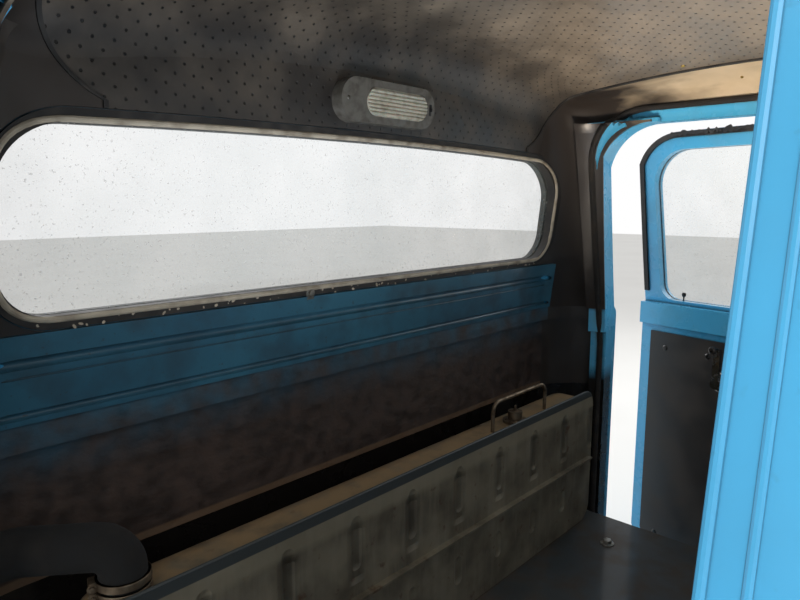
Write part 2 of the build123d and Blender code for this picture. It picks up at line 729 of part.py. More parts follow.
# On the tank's top: a bent tube loop, the sender, and the filler's neck, hose and cap
loop_path = FilletPolyline(
    (LOOP_X[0], LOOP_Y, TANK_TOP),
    (LOOP_X[0], LOOP_Y, TANK_TOP + LOOP_HEIGHT),
    (LOOP_X[1], LOOP_Y, TANK_TOP + LOOP_HEIGHT),
    (LOOP_X[1], LOOP_Y, TANK_TOP),
    radius=LOOP_BEND,
)
loop_start = Plane(origin=loop_path @ 0, z_dir=loop_path % 0)
tube_loop = sweep(loop_start * Circle(LOOP_RADIUS), loop_path)
sender_foot = (SENDER_X, SENDER_Y, TANK_TOP)
sender_parts = []
for sender_radius, sender_height in (SENDER_PLATE, SENDER_BODY):
    sender_top = (SENDER_X, SENDER_Y, TANK_TOP + sender_height)
    sender_parts.append(rod(sender_foot, sender_top, sender_radius))
sender = sender_parts[0] + sender_parts[1]
PARTS["tank_fittings"] = Compound(children=[tube_loop, sender])
filler_path = FilletPolyline(
    (FILLER_X, FILLER_Y, TANK_TOP - FILLER_SINK),
    (FILLER_X, FILLER_Y, FILLER_WALL_Z),
    (FILLER_X - 90, FILLER_WALL_Y, FILLER_WALL_Z),
    filler_wall,
    radius=FILLER_BEND,
)
filler_start = Plane(origin=filler_path @ 0, z_dir=filler_path % 0)
filler = sweep(filler_start * Circle(FILLER_RADIUS), filler_path)
cap_start = filler_wall - Vector(FILLER_CAP_DEPTH, 0, 0)
filler += rod(filler_wall, cap_start, FILLER_CAP_RADIUS)
for reach in CLAMP_REACH:
    filler += rod(
        (FILLER_X, FILLER_Y, TANK_TOP + reach),
        (FILLER_X, FILLER_Y, TANK_TOP + reach + CLAMP_WIDTH),
        FILLER_RADIUS + CLAMP_HEIGHT,
    )
PARTS["filler_pipe"] = filler - tank

# Rear window's rubber and glass, and the pressed panel and the board below them
window_clear = window_outline(0, (BODY_REAR - 200, FAR))
glazing = layer(GLASS_DEPTH, GLASS_DEPTH + GLASS)
rear_glass = glazing & window_outline(SEAL_WIDTH / 2, (BODY_REAR - 200, FAR))
rear_seal = (layer(-3, WALL + 6) & window_hole) - window_clear - rear_glass
PARTS["rear_glass"] = rear_glass
PARTS["rear_seal"] = rear_seal
inner_top = REAR_WINDOW_BOTTOM - SEAL_WIDTH - 2
inner_panel = layer(WALL, WALL + INNER_PANEL) & block(
    (-REAR_PANEL_SPLIT, REAR_PANEL_SPLIT), (DOOR_REAR, FAR), (INNER_PANEL_BOTTOM, inner_top)
)
wall_lean = (BODY_REAR - SHOULDER_STEP - GUTTER_REAR) / (GUTTER_Z - SHOULDER_Z)
for z, swage_radius in SWAGES:
    y = BODY_REAR - SHOULDER_STEP - (z - SHOULDER_Z) * wall_lean - WALL - INNER_PANEL
    inner_panel -= rod((-REAR_PANEL_SPLIT, y, z), (REAR_PANEL_SPLIT, y, z), swage_radius)
PARTS["rear_inner_panel"] = inner_panel
PARTS["rear_board"] = layer(WALL, WALL + BOARD) & block(
    (-REAR_PANEL_SPLIT, REAR_PANEL_SPLIT), (DOOR_REAR, FAR), (BOARD_BOTTOM, INNER_PANEL_BOTTOM)
)

# Windscreen's rubber and glass
screen_clear = screen_outline(-SEAL_WIDTH)
screen_glass = glazing & screen_outline(-SEAL_WIDTH / 2)
PARTS["windscreen_glass"] = screen_glass
PARTS["windscreen_seal"] = (layer(-2, WALL + 4) & screen_hole) - screen_clear - screen_glass

# Headliner: the centre board, the side boards and the beads between them
liner_skin = layer(WALL, WALL + BOARD)
half_bead = BEAD_WIDTH / 2
liner_zone = block(EVERYWHERE, (0, FAR), (LINER_BOTTOM, FAR))
liner_zone += block(EVERYWHERE, (-FAR, 0), (SCREEN_TOP + 10, FAR))
liner_zone -= window_outline(SEAL_WIDTH + LINER_WINDOW_GAP, (BODY_REAR - 200, FAR))
centre_zone = liner_prism(-half_bead)
bead_zone = liner_prism(half_bead) - centre_zone
PARTS["headliner_centre"] = liner_skin & liner_zone & centre_zone
beads = layer(WALL, WALL + BOARD + BEAD_HEIGHT) & liner_zone & bead_zone
PARTS["headliner_beads"] = beads
side_zone = block((LINER_SPLIT, FAR), EVERYWHERE, (DOOR_TOP + LINER_HEAD_GAP, FAR))
side_zone += block((REAR_PANEL_SPLIT, FAR), (jamb_end, FAR), (BOARD_BOTTOM, FAR))
side_zone += block((WINDOW_SIDE_TRIM_X, FAR), (jamb_end, FAR), (inner_top + 1, FAR))
side_zone += block((LINER_SPLIT_LOW, FAR), (jamb_end, FAR), (LINER_BOTTOM, FAR))
side_zone -= window_outline(SEAL_WIDTH + LINER_WINDOW_GAP, (BODY_REAR - 200, FAR))
side_zone -= liner_prism(half_bead)
jamb_trim = layer(PILLAR, PILLAR + BOARD) & block(
    LEFT, (DOOR_REAR - DOOR_CORNER_TOP_REAR, jamb_end + BOARD), (SHOULDER_Z, DOOR_TOP + LINER_HEAD_GAP)
)
jamb_trim += layer(WALL, PILLAR + BOARD) & block(
    LEFT, (jamb_end, jamb_end + BOARD), (SHOULDER_Z, DOOR_TOP + LINER_HEAD_GAP)
)
side_board = (liner_skin & side_zone) + jamb_trim
side_board -= pillar + corner_left + left_door_hole
board_left, board_right = pair(side_board)
board_right -= rod(
    filler_wall - Vector(60, 0, 0), filler_wall + Vector(90, 0, 0), FILLER_RADIUS + FILLER_TRIM_GAP
)
PARTS["headliner_sides"] = Compound(children=[board_left, board_right])

# Dome lamp above the rear window
lamp_skin = WALL + BOARD
lamp_plane = Plane.XZ.offset(-BODY_REAR)
lamp_prism = extrude(lamp_plane * Pos(0, LAMP_Z) * SlotOverall(LAMP_WIDTH, LAMP_HEIGHT), 200)
lens_prism = extrude(lamp_plane * Pos(LENS_X, LAMP_Z) * SlotOverall(LENS_WIDTH, LENS_HEIGHT), 200)
bezel = lamp_prism & layer(lamp_skin, lamp_skin + LAMP_DEPTH)
PARTS["dome_lamp_bezel"] = bezel - lens_prism
lens = lens_prism & layer(lamp_skin, lamp_skin + LAMP_DEPTH)
for index in range(LENS_RIBS):
    z = LAMP_Z + (index - (LENS_RIBS - 1) / 2) * LENS_RIB_PITCH
    y = BODY_REAR - SHOULDER_STEP - (z - SHOULDER_Z) * wall_lean - lamp_skin - LAMP_DEPTH
    rib = rod((-LENS_WIDTH, y, z), (LENS_WIDTH, y, z), LENS_RIB_PITCH * 0.55)
    lens += rib & lens_prism
PARTS["dome_lamp_lens"] = lens

# Dash with its glovebox bin and lid, and the instruments
glove_x = GLOVEBOX_X
glove_z = GLOVEBOX_Z
dash_face = (DASH_REAR - DASH_SHEET, DASH_REAR)
dash = block(EVERYWHERE, dash_face, (DASH_BOTTOM, DASH_TOP))
dash += block(EVERYWHERE, (BODY_FRONT, DASH_REAR), (DASH_TOP - 12, DASH_TOP))
bin_depth = (DASH_REAR - DASH_SHEET - BIN_DEPTH, DASH_REAR - DASH_SHEET + 1)
dash += block(
    (glove_x[0] - BOARD, glove_x[1] + BOARD),
    bin_depth,
    (glove_z[0] - BOARD, glove_z[1] + BOARD),
)
dash -= block(glove_x, (bin_depth[0] + BOARD, DASH_REAR + 1), glove_z)
lid_pin_y = DASH_REAR - LID_SHEET / 2
lid_pin_z = glove_z[0] + LID_PIN_HEIGHT
lid_x = (glove_x[0] + GLOVEBOX_GAP, glove_x[1] - GLOVEBOX_GAP)
for wall_x, inward in ((glove_x[0], 1), (glove_x[1], -1)):
    dash += rod(
        (wall_x - inward * 3, lid_pin_y, lid_pin_z),
        (wall_x + inward * LID_PIN_LENGTH, lid_pin_y, lid_pin_z),
        LID_PIN_RADIUS,
    )
PARTS["dash_panel"] = dash & form(WALL)
glove_lid = block(
    lid_x, (DASH_REAR - LID_SHEET, DASH_REAR), (lid_pin_z - 6, glove_z[1] - GLOVEBOX_GAP)
)
for wall_x, inward in ((glove_x[0], 1), (glove_x[1], -1)):
    glove_lid -= rod(
        (wall_x, lid_pin_y, lid_pin_z),
        (wall_x + inward * (LID_PIN_LENGTH + 1), lid_pin_y, lid_pin_z),
        LID_PIN_RADIUS + HINGE_PIN_PLAY,
    )
knob_radius, knob_length, knob_drop = GLOVEBOX_KNOB
knob_foot = Vector(sum(lid_x) / 2, DASH_REAR, glove_z[1] - knob_drop)
glove_lid += rod(knob_foot, knob_foot + Vector(0, knob_length, 0), knob_radius)
PARTS["glovebox_lid"] = glove_lid
cluster_foot = Vector(STEER_X, DASH_REAR, CLUSTER_Z)
cluster_rim = cluster_foot + Vector(0, CLUSTER_DEPTH, 0)
cluster = rod(cluster_foot, cluster_rim, CLUSTER_RADIUS)
cluster -= rod(
    cluster_foot + Vector(0, CLUSTER_FACE, 0), cluster_rim, CLUSTER_RADIUS - CLUSTER_FACE
)
PARTS["instrument_cluster"] = cluster

# Steering column and wheel
tilt = math.radians(STEER_TILT)
steer_up = Vector(0, math.sin(tilt), math.cos(tilt))
hub = Vector(STEER_X, STEER_Y, STEER_Z)
column = rod(hub - steer_up * COLUMN_START, hub - steer_up * COLUMN_LENGTH, COLUMN_RADIUS)
column += block(
    (STEER_X - BRACKET_WIDTH / 2, STEER_X + BRACKET_WIDTH / 2),
    (DASH_REAR - 20, DASH_REAR - 4),
    (BRACKET_FOOT_Z, DASH_BOTTOM),
)
PARTS["steering_column"] = column + rod(
    hub - steer_up * (COLUMN_LENGTH + SHAFT_END), hub + steer_up * HUB_HEIGHT, SHAFT_RADIUS
)
PARTS["floor_pan"] -= PARTS["steering_column"]
wheel_plane = Plane(origin=hub, x_dir=(1, 0, 0), z_dir=steer_up)
wheel = Torus(WHEEL_RADIUS, RIM_RADIUS)
wheel += Pos(0, 0, 0) * Cylinder(HUB_RADIUS, 2 * HUB_HEIGHT)
for angle in SPOKE_ANGLES:
    direction = Vector(math.cos(math.radians(angle)), math.sin(math.radians(angle)), 0)
    wheel += rod(direction * (HUB_RADIUS - HUB_WALL), direction * WHEEL_RADIUS, SPOKE_RADIUS)
wheel -= Cylinder(SHAFT_RADIUS + HINGE_PIN_PLAY, 4 * HUB_HEIGHT)
wheel += rod((0, 0, HUB_HEIGHT), (0, 0, HUB_HEIGHT + HUB_CAP_HEIGHT), HUB_RADIUS - HUB_WALL)
PARTS["steering_wheel"] = wheel_plane * wheel

# Pedals on the toe board, and the gear lever
toe_run = Vector(0, BODY_FRONT - TOE_Y, TOE_TOP_Z - FLOOR_Z).normalized()
toe_up = Vector(0, -toe_run.Z, toe_run.Y) * -1
toe_foot = Vector(0, TOE_Y, FLOOR_Z)
pedals = []
for pedal_x, up_toe, pad_height, pad_width, pad_length in PEDALS:
    root = toe_foot + Vector(pedal_x, 0, 0) + toe_run * up_toe
    pad = Plane(origin=root + toe_up * pad_height, x_dir=(1, 0, 0), z_dir=toe_up)
    pedal = pad * Box(pad_width, pad_length, PEDAL_SHEET)
    pedal_root = root + toe_up * (FLOOR_SHEET * 0.5)
    pedal += rod(pedal_root, root + toe_up * pad_height, PEDAL_ARM_RADIUS)
    pedals.append(pedal - PARTS["floor_pan"])
PARTS["pedals"] = Compound(children=pedals)
lever = lever_boot - tunnel[0]
lever += rod(LEVER_BEND, LEVER_KNOB, LEVER_RADIUS)
PARTS["gear_lever"] = lever + Pos(*LEVER_KNOB) * Sphere(LEVER_KNOB_RADIUS)

# Wipers: a pivot on the cowl, an arm off the glass, and a blade on it
wipers = []
for pivot_x in WIPER_PIVOT_X:
    blade_x = pivot_x - WIPER_ARM_REACH
    pivot_y = SCREEN_BASE_FRONT + pivot_x**2 / (2 * SCREEN_BOW) - 6
    pivot = (pivot_x, pivot_y, WIPER_PIVOT_Z + WIPER_PIVOT_RISE)
    wiper = rod((pivot_x, pivot_y, SHOULDER_Z), pivot, WIPER_PIVOT_RADIUS)
    arm = Polyline(
        (pivot_x, WIPER_PIVOT_Z - 5),
        (blade_x, WIPER_BLADE_Z - 4),
        (blade_x, WIPER_BLADE_Z + 4),
        (pivot_x, WIPER_PIVOT_Z + 7),
        close=True,
    )
    arm_prism = extrude(Plane.XZ * make_face(arm), 2 * FAR)
    wiper += layer(*WIPER_LAYER) & arm_prism
    blade_x_range = (blade_x - WIPER_BLADE_HALF_LENGTH, blade_x + WIPER_BLADE_HALF_LENGTH)
    blade_z_range = (WIPER_BLADE_Z - 4, WIPER_BLADE_Z + 4)
    wiper += layer(WIPER_LAYER[0], GLASS_DEPTH) & block(blade_x_range, (-FAR, 0), blade_z_range)
    wipers.append(wiper - cowl)
PARTS["wipers"] = Compound(children=wipers)

# Hinges on the pillars
knuckle = HINGE_HEIGHT / 3
leaf_x = (BODY_HALF_WIDTH, BODY_HALF_WIDTH + HINGE_LEAF)
clear = HINGE_BARREL_RADIUS + 2
leaves = []
door_leaves = []
for z in HINGE_Z:
    barrel_low = rod((HINGE_X, HINGE_Y, z), (HINGE_X, HINGE_Y, z + knuckle - 1), HINGE_BARREL_RADIUS)
    barrel_high = Pos(0, 0, 2 * knuckle + 1) * barrel_low
    leaf = block(leaf_x, (HINGE_Y - HINGE_LEAF_LENGTH, HINGE_Y - clear), (z, z + HINGE_HEIGHT))
    for low in (z, z + 2 * knuckle + 1):
        leaf += block(leaf_x, (HINGE_Y - clear, HINGE_Y - 2), (low, low + knuckle - 1))
    leaf += barrel_low + barrel_high
    pin = rod((HINGE_X, HINGE_Y, z), (HINGE_X, HINGE_Y, z + HINGE_HEIGHT), HINGE_PIN_RADIUS)
    leaves += list(pair(leaf + pin))
    door_leaf = block(
        leaf_x, (HINGE_Y + clear, HINGE_Y + HINGE_LEAF_LENGTH), (z, z + HINGE_HEIGHT)
    )
    middle = (z + knuckle, z + 2 * knuckle)
    door_leaf += block((BODY_HALF_WIDTH, HINGE_X), (HINGE_Y + 7, HINGE_Y + clear + 6), middle)
    door_leaf += block((HINGE_X - 6, HINGE_X), (HINGE_Y, HINGE_Y + clear + 1), middle)
    door_leaf += rod((HINGE_X, HINGE_Y, middle[0]), (HINGE_X, HINGE_Y, middle[1]), HINGE_BARREL_RADIUS)
    door_leaf -= rod(
        (HINGE_X, HINGE_Y, z),
        (HINGE_X, HINGE_Y, z + HINGE_HEIGHT),
        HINGE_PIN_RADIUS + HINGE_PIN_PLAY,
    )
    door_leaves.append(door_leaf)
PARTS["hinge_leaves"] = Compound(children=leaves)

# Left door, closed, and then both doors as they stand
door_form = door_outline(-DOOR_GAP, LEFT)
door = layer(0, DOOR_LOWER) & door_form & block(LEFT, EVERYWHERE, (0, SHOULDER_Z))
door += layer(0, DOOR_FRAME) & door_form & block(LEFT, EVERYWHERE, (SHOULDER_Z - 60, FAR))
for prism in pane_outline(0, LEFT):
    door -= prism
door_depth = layer(GLASS_DEPTH, GLASS_DEPTH + GLASS)
panes = [door_depth & prism for prism in pane_outline(PANE_LAP, LEFT)]
for pane in panes:
    door -= pane
for door_leaf in door_leaves:
    door += door_leaf
trim = layer(DOOR_LOWER, DOOR_LOWER + BOARD) & door_outline(-TRIM_MARGIN, LEFT)
trim &= block(LEFT, EVERYWHERE, (0, SHOULDER_Z - DOOR_LOWER - TRIM_SILL_GAP))
seal_outer = door_outline(-DOOR_GAP - SEAL_INSET[0], LEFT)
seal_ring = seal_outer - door_outline(-DOOR_GAP - SEAL_INSET[1], LEFT)
door_seal = layer(DOOR_FRAME, DOOR_FRAME + SEAL_SHEET) & seal_ring
door_seal &= block(LEFT, EVERYWHERE, (PANE_SILL_Z + SEAL_START, FAR))
handle = block((HINGE_X - 2, HINGE_X + HANDLE_OUT), HANDLE_Y, HANDLE_Z)
for foot_y in HANDLE_FEET_Y:
    handle += block((BODY_HALF_WIDTH, HINGE_X), foot_y, HANDLE_Z)
trim_x = BODY_HALF_WIDTH - DOOR_LOWER - BOARD
fitting_x = (trim_x - FITTING_REACH, trim_x - FITTING_REACH + FITTING_SHEET)
fittings = []
for place, arm, radius in (
    (WINDER_PLACE, WINDER_ARM, WINDER_RADIUS),
    (INNER_HANDLE_PLACE, INNER_HANDLE_ARM, INNER_HANDLE_RADIUS),
):
    fitting = rod((trim_x, *place), (trim_x - FITTING_REACH, *place), radius)
    fittings.append(fitting + block(fitting_x, *arm))
left_door_pieces = {
    "door_shell": door,
    "door_glass": Compound(children=panes),
    "door_trim": trim,
    "door_seal": door_seal,
    "door_hardware": Compound(children=[handle, *fittings]),
}
for side, name, angle in ((1, "left", DOOR_ANGLE_LEFT), (-1, "right", DOOR_ANGLE_RIGHT)):
    for piece, shape in left_door_pieces.items():
        PARTS[f"{piece}_{name}"] = swung(shape, side, angle)

os.makedirs("parts", exist_ok=True)
for name, shape in PARTS.items():
    export_step(shape, f"parts/{name}.step")
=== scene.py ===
import bmesh
import bpy
import json
import random
from math import ceil, cos, pi, radians, sin, tau
from mathutils import Matrix, Vector
from mathutils.bvhtree import BVHTree


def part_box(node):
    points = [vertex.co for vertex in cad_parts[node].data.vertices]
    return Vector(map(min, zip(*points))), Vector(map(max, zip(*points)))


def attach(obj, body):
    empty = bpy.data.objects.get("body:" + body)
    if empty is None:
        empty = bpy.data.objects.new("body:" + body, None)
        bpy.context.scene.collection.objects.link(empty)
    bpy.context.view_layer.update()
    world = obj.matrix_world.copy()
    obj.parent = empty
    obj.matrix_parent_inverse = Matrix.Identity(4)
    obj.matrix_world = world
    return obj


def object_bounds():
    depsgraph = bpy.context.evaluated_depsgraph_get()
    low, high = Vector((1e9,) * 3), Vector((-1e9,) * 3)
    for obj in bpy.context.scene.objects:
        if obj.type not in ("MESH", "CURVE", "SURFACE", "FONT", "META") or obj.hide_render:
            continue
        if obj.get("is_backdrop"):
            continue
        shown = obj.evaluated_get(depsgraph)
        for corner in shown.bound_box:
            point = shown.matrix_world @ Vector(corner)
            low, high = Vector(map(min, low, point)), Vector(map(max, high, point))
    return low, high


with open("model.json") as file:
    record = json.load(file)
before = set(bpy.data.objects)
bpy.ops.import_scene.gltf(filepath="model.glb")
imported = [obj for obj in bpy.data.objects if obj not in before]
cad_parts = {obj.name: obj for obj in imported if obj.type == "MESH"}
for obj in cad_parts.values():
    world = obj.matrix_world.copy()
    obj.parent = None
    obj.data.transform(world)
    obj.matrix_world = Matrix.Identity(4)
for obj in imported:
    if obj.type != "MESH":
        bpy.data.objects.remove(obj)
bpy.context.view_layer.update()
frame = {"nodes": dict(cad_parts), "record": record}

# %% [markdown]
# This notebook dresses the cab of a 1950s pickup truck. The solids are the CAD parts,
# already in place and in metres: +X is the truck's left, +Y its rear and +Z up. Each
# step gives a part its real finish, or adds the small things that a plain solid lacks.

MM = 0.001
nodes = frame["nodes"]

# %% [markdown]
# A finish is a set of shader nodes. A helper that adds a node, sets it and links it keeps
# each finish down to a few lines. It finds the finish from the values that it links.
# Colours are written as they look on a screen, so they are turned to linear light first.

# %% Helpers for finishes
def linear(colour):
    """A screen colour such as '4aaede' as linear light."""
    parts = [int(colour[i:i + 2], 16) / 255 for i in (0, 2, 4)]
    return [c / 12.92 if c <= 0.04045 else ((c + 0.055) / 1.055) ** 2.4 for c in parts] + [1]


def add(kind, links, output=0, tree=None, **settings):
    """Adds a node and gives its output. A link is an output to join or a value to set.

    A node that joins nothing needs its tree.
    """
    joined = {k: value for k, value in links.items() if isinstance(value, bpy.types.NodeSocket)}
    tree = tree or list(joined.values())[0].id_data
    made = tree.nodes.new("ShaderNode" + kind)
    for name, value in settings.items():
        setattr(made, name, value)
    for name, value in links.items():
        if name in joined:
            tree.links.new(value, made.inputs[name])
        else:
            made.inputs[name].default_value = value
    return made.outputs[output]


def finish(name, **values):
    """A new material, with its shader's own values set, and its place on the object."""
    material = bpy.data.materials.new(name)
    material.use_nodes = True
    shader = material.node_tree.nodes["Principled BSDF"]
    for key, value in values.items():
        shader.inputs[key.replace("_", " ")].default_value = value
    return material, add("TexCoord", {}, "Object", material.node_tree)


def dress(material, **outputs):
    """Joins what was worked out, such as Base_Color, to the shader."""
    shader = material.node_tree.nodes["Principled BSDF"]
    for key, output in outputs.items():
        material.node_tree.links.new(output, shader.inputs[key.replace("_", " ")])


# %% Helpers for patterns
def cloud(place, size_mm, low, high, detail=4, stretch=(1, 1, 1)):
    """Soft random patches of about size_mm, from 0 below low to 1 above high."""
    stretched = add("Mapping", {"Vector": place, "Scale": stretch})
    links = {"Vector": stretched, "Scale": 1000 / size_mm, "Detail": detail}
    noise = add("TexNoise", links)
    return add("MapRange", {"Value": noise, "From Min": low, "From Max": high})


def coat(under, amount, over):
    """A coat of one colour on another, by an amount from 0 to 1."""
    under, over = [linear(c) if isinstance(c, str) else c for c in (under, over)]
    return add("MixRGB", {"Fac": amount, "Color1": under, "Color2": over})


def coat_on(material, amount, over):
    """One more coat of colour on a finished material."""
    base = material.node_tree.nodes["Principled BSDF"].inputs["Base Color"]
    dress(material, Base_Color=coat(base.links[0].from_socket, amount, over))


def meeting(first, *others):
    """The amount where several amounts meet, which is their product."""
    for other in others:
        first = add("Math", {0: first, 1: other}, operation="MULTIPLY")
    return first


def relief(height, depth_mm, under=None):
    """Height turned into a bump of depth_mm."""
    links = {"Height": height, "Distance": depth_mm * MM, "Strength": 1.0}
    if under is not None:
        links["Normal"] = under
    return add("Bump", links)


def spread(place, axis, start, end, patches=None, reach=0.0):
    """From 0 at start to 1 at end along an axis, with a border moved by patches."""
    where = add("SeparateXYZ", {0: place}, axis)
    if patches is not None:
        where = add("Math", {0: where, 1: meeting(patches, reach)}, operation="ADD")
    return add("MapRange", {"Value": where, "From Min": start, "From Max": end})


# %% [markdown]
# The cab is painted in sky blue enamel, sprayed on steel and rubbed thin over the
# years. Enamel is glossy, with an IOR near 1.5, faint orange peel and cloudy colour.
# Its grooves are darker, partly as dirt and partly as painted shade, from an ambient
# occlusion node that finds them for any shape. The same recipe serves the darker inner panel.

# %% Painted steel
GROOVE_DIRT_AND_SHADE_REACH_MM = 9
SPECKLE = "3b2f26"


def enamel(name, colour, faded, grime_and_shade, dirt, rough):
    """Sprayed enamel on steel, with faded patches, dirt, and grooves darkened as grime and painted
    shade.
    """
    material, place = finish(name, IOR=1.5, Coat_Weight=0.25, Coat_Roughness=0.12)
    paint = coat(colour, cloud(place, 240, 0.38, 0.68), faded)
    film = meeting(cloud(place, 60, 0.45, 0.75, 8), dirt)
    paint = coat(paint, film, grime_and_shade)
    speckle = cloud(place, 5, 0.66, 0.74, 2)
    paint = coat(paint, meeting(speckle, dirt), SPECKLE)
    reach = {"Distance": GROOVE_DIRT_AND_SHADE_REACH_MM * MM}
    # Ambient occlusion darkens the grooves, partly as grime and partly as painted shade.
    shaded = add("AmbientOcclusion", reach, "AO", material.node_tree, samples=6)
    groove_dirt_and_shade = add("MapRange", {"Value": shaded, "From Min": 0.85, "From Max": 0.45})
    paint = coat(paint, meeting(groove_dirt_and_shade, 0.85), grime_and_shade)
    dull = min(rough + 0.35, 0.9)
    worn = add("MapRange", {"Value": film, "To Min": rough, "To Max": dull})
    peel = relief(cloud(place, 2.5, 0.3, 0.7, 2), 0.012)
    dents = relief(cloud(place, 160, 0.3, 0.7, 1), 0.5, peel)
    dress(material, Base_Color=paint, Roughness=worn, Normal=dents)
    return material


SKY_BLUE = ("4aaede", "5bb6e0", "2d3c42", 0.18, 0.26)
sky_enamel = enamel("sky_blue_enamel", *SKY_BLUE)
# A darker copy of the blue for the inner panel: partly dirt, partly painted shade.
inner_enamel_dirt_and_shade = enamel("inner_blue_enamel", "36677c", "2d5468", "1f2325", 0.55, 0.36)
floor_enamel = enamel("dark_floor_paint", "20282c", "2a2c2b", "41352a", 0.9, 0.55)
chassis_enamel = enamel("black_chassis_paint", "161616", "1f1e1c", "3a3128", 0.6, 0.45)
print("paints", [m.name for m in (sky_enamel, inner_enamel_dirt_and_shade, floor_enamel, chassis_enamel)])

# %% [markdown]
# The back panel and rear corners have the same blue outside, but behind the tank their
# inner face is painted nearly black as painted shade. One part can't take two finishes, so
# the finish tells inside from outside by how far a point lies from the middle of the round
# corner, and lets the painted shade begin below the board's edge.

# %% Painted steel with painted shade on its inner face
CORNER_CENTRE = (0.600, 0.525, 10)
CORNER_RADIUS = 0.190
INSIDE_SHADE_TOP = 0.63
INSIDE_SHADE_BOTTOM = 0.59

enamel_with_painted_shade_inside = enamel("sky_blue_enamel_soiled_inside", *SKY_BLUE)
place = add("TexCoord", {}, "Object", enamel_with_painted_shade_inside.node_tree)
folded = add("VectorMath", {0: place}, operation="ABSOLUTE")
beyond = add("VectorMath", {0: folded, 1: CORNER_CENTRE}, operation="SUBTRACT")
beyond = add("VectorMath", {0: beyond, 1: (0, 0, 0)}, operation="MAXIMUM")
radius = add("VectorMath", {0: beyond}, "Value", operation="LENGTH")
skin_to_inside = {"From Min": CORNER_RADIUS - 0.010, "From Max": CORNER_RADIUS - 0.022}
inside = add("MapRange", {"Value": radius, **skin_to_inside})
low_down = spread(place, "Z", INSIDE_SHADE_TOP, INSIDE_SHADE_BOTTOM)
# The inner face is painted nearly black here as painted shade.
coat_on(enamel_with_painted_shade_inside, meeting(inside, low_down), "14110f")
print("painted shade on inner face below", INSIDE_SHADE_TOP)

# %% [markdown]
# The headliner is pressed board, a little shiny, with thousands of small holes punched
# in staggered rows to deaden sound, so they are drawn in the finish. The board bends
# from the rear wall into the roof, so the distance along the bend is worked out from
# the bend's own centre, and the rows stay even.

# %% Distance to the nearest hole
HOLE_PITCH_MM = 26.6
HOLE_RADIUS_MM = 1.8
BEND_Y = 0.545
BEND_Z = 1.256
BEND_RADIUS = 0.090
# Each row is a new value, an operation, and the two values that it takes.
HOLE_STEPS = (
    ("above", "SUBTRACT", "Z", BEND_Z),
    ("behind", "SUBTRACT", "Y", BEND_Y),
    ("up", "MAXIMUM", "above", 0.0),
    ("back", "MAXIMUM", "behind", 0.0),
    ("turned", "ARCTAN2", "up", "back"),
    ("bend", "MULTIPLY", "turned", BEND_RADIUS),
    ("roof", "MINIMUM", "behind", 0.0),
    ("wall", "MINIMUM", "above", 0.0),
    ("bend_and_roof", "SUBTRACT", "bend", "roof"),
    ("along", "ADD", "bend_and_roof", "wall"),
    ("row_value", "DIVIDE", "along", HOLE_PITCH_MM * MM / 2),
    ("row", "ROUND", "row_value", 0.0),
    ("off_row", "SUBTRACT", "row_value", "row"),
    ("stagger", "MULTIPLY", "row", 0.5),
    ("column_even", "DIVIDE", "X", HOLE_PITCH_MM * MM),
    ("column_value", "ADD", "column_even", "stagger"),
    ("column", "ROUND", "column_value", 0.0),
    ("off_column", "SUBTRACT", "column_value", "column"),
    ("hole_x", "MULTIPLY", "off_column", HOLE_PITCH_MM),
    ("hole_y", "MULTIPLY", "off_row", HOLE_PITCH_MM / 2),
    ("square_x", "MULTIPLY", "hole_x", "hole_x"),
    ("square_y", "MULTIPLY", "hole_y", "hole_y"),
    ("square", "ADD", "square_x", "square_y"),
    ("distance", "SQRT", "square", 0.0),
)

headliner_board, place = finish("perforated_pressed_board", IOR=1.5)
values = {axis: add("SeparateXYZ", {0: place}, axis) for axis in "XYZ"}
for name, operation, first, second in HOLE_STEPS:
    links = {0: values[first], 1: values.get(second, second)}
    values[name] = add("Math", links, operation=operation)
print("steps to a hole", len(HOLE_STEPS))

# %% Perforated headliner board
edge = {"From Min": HOLE_RADIUS_MM + 0.5, "From Max": HOLE_RADIUS_MM - 0.3}
hole = add("MapRange", {"Value": values["distance"], **edge})
scuff = cloud(place, 90, 0.4, 0.7, 6)
# The board is painted a light tan as painted light at the front, and nearly black towards the rear
# window as painted shade.
board = coat("675d51", scuff, "827565")
painted_shade_to_rear = spread(place, "Y", 0.46, 0.64, scuff, -0.05)
board = coat(board, painted_shade_to_rear, "2b2928")
board = coat(board, hole, "060505")
sheen = add("MapRange", {"Value": scuff, "To Min": 0.32, "To Max": 0.46})
dimple = add("Math", {0: 1.0, 1: hole}, operation="SUBTRACT")
waves = cloud(place, 130, 0.3, 0.7, 2)
bumps = relief(waves, 1.2, relief(dimple, 0.8))
dress(headliner_board, Base_Color=board, Roughness=sheen, Normal=bumps)
print("holes every", HOLE_PITCH_MM, "mm")

# %% [markdown]
# The side and door boards are the same board without holes. Rubber is matt, with a grey
# bloom. Bright trim is plated metal, dulled by pits, and the wheel is hard plastic. Each
# starts from typical values: rubber at an IOR of 1.52, plate as a full metal, and
# plastic at an IOR of 1.46. All are a colour with duller patches of a second one and a
# fine grain, so one function serves them all.

# %% Recipes for board, rubber, metal and plastic
# A recipe is the shader's values, the patches and how much duller they are, and the grain
# with its depth in millimetres.
RECIPES = {
    "board": ({"IOR": 1.5}, (70, 0.42, 0.72, 8), 0.2, (1.6, 0.3, 0.7, 3), 0.03),
    "rubber": ({"IOR": 1.52}, (30, 0.45, 0.72, 8), 0.15, (1.2, 0.3, 0.7, 3), 0.06),
    "metal": ({"Metallic": 1.0}, (18, 0.45, 0.75, 8), 0.3, (2, 0.62, 0.7, 2), 0.05),
    "plastic": ({"IOR": 1.46}, (14, 0.42, 0.7, 6), 0.25, (0.9, 0.3, 0.7, 2), 0.01),
}


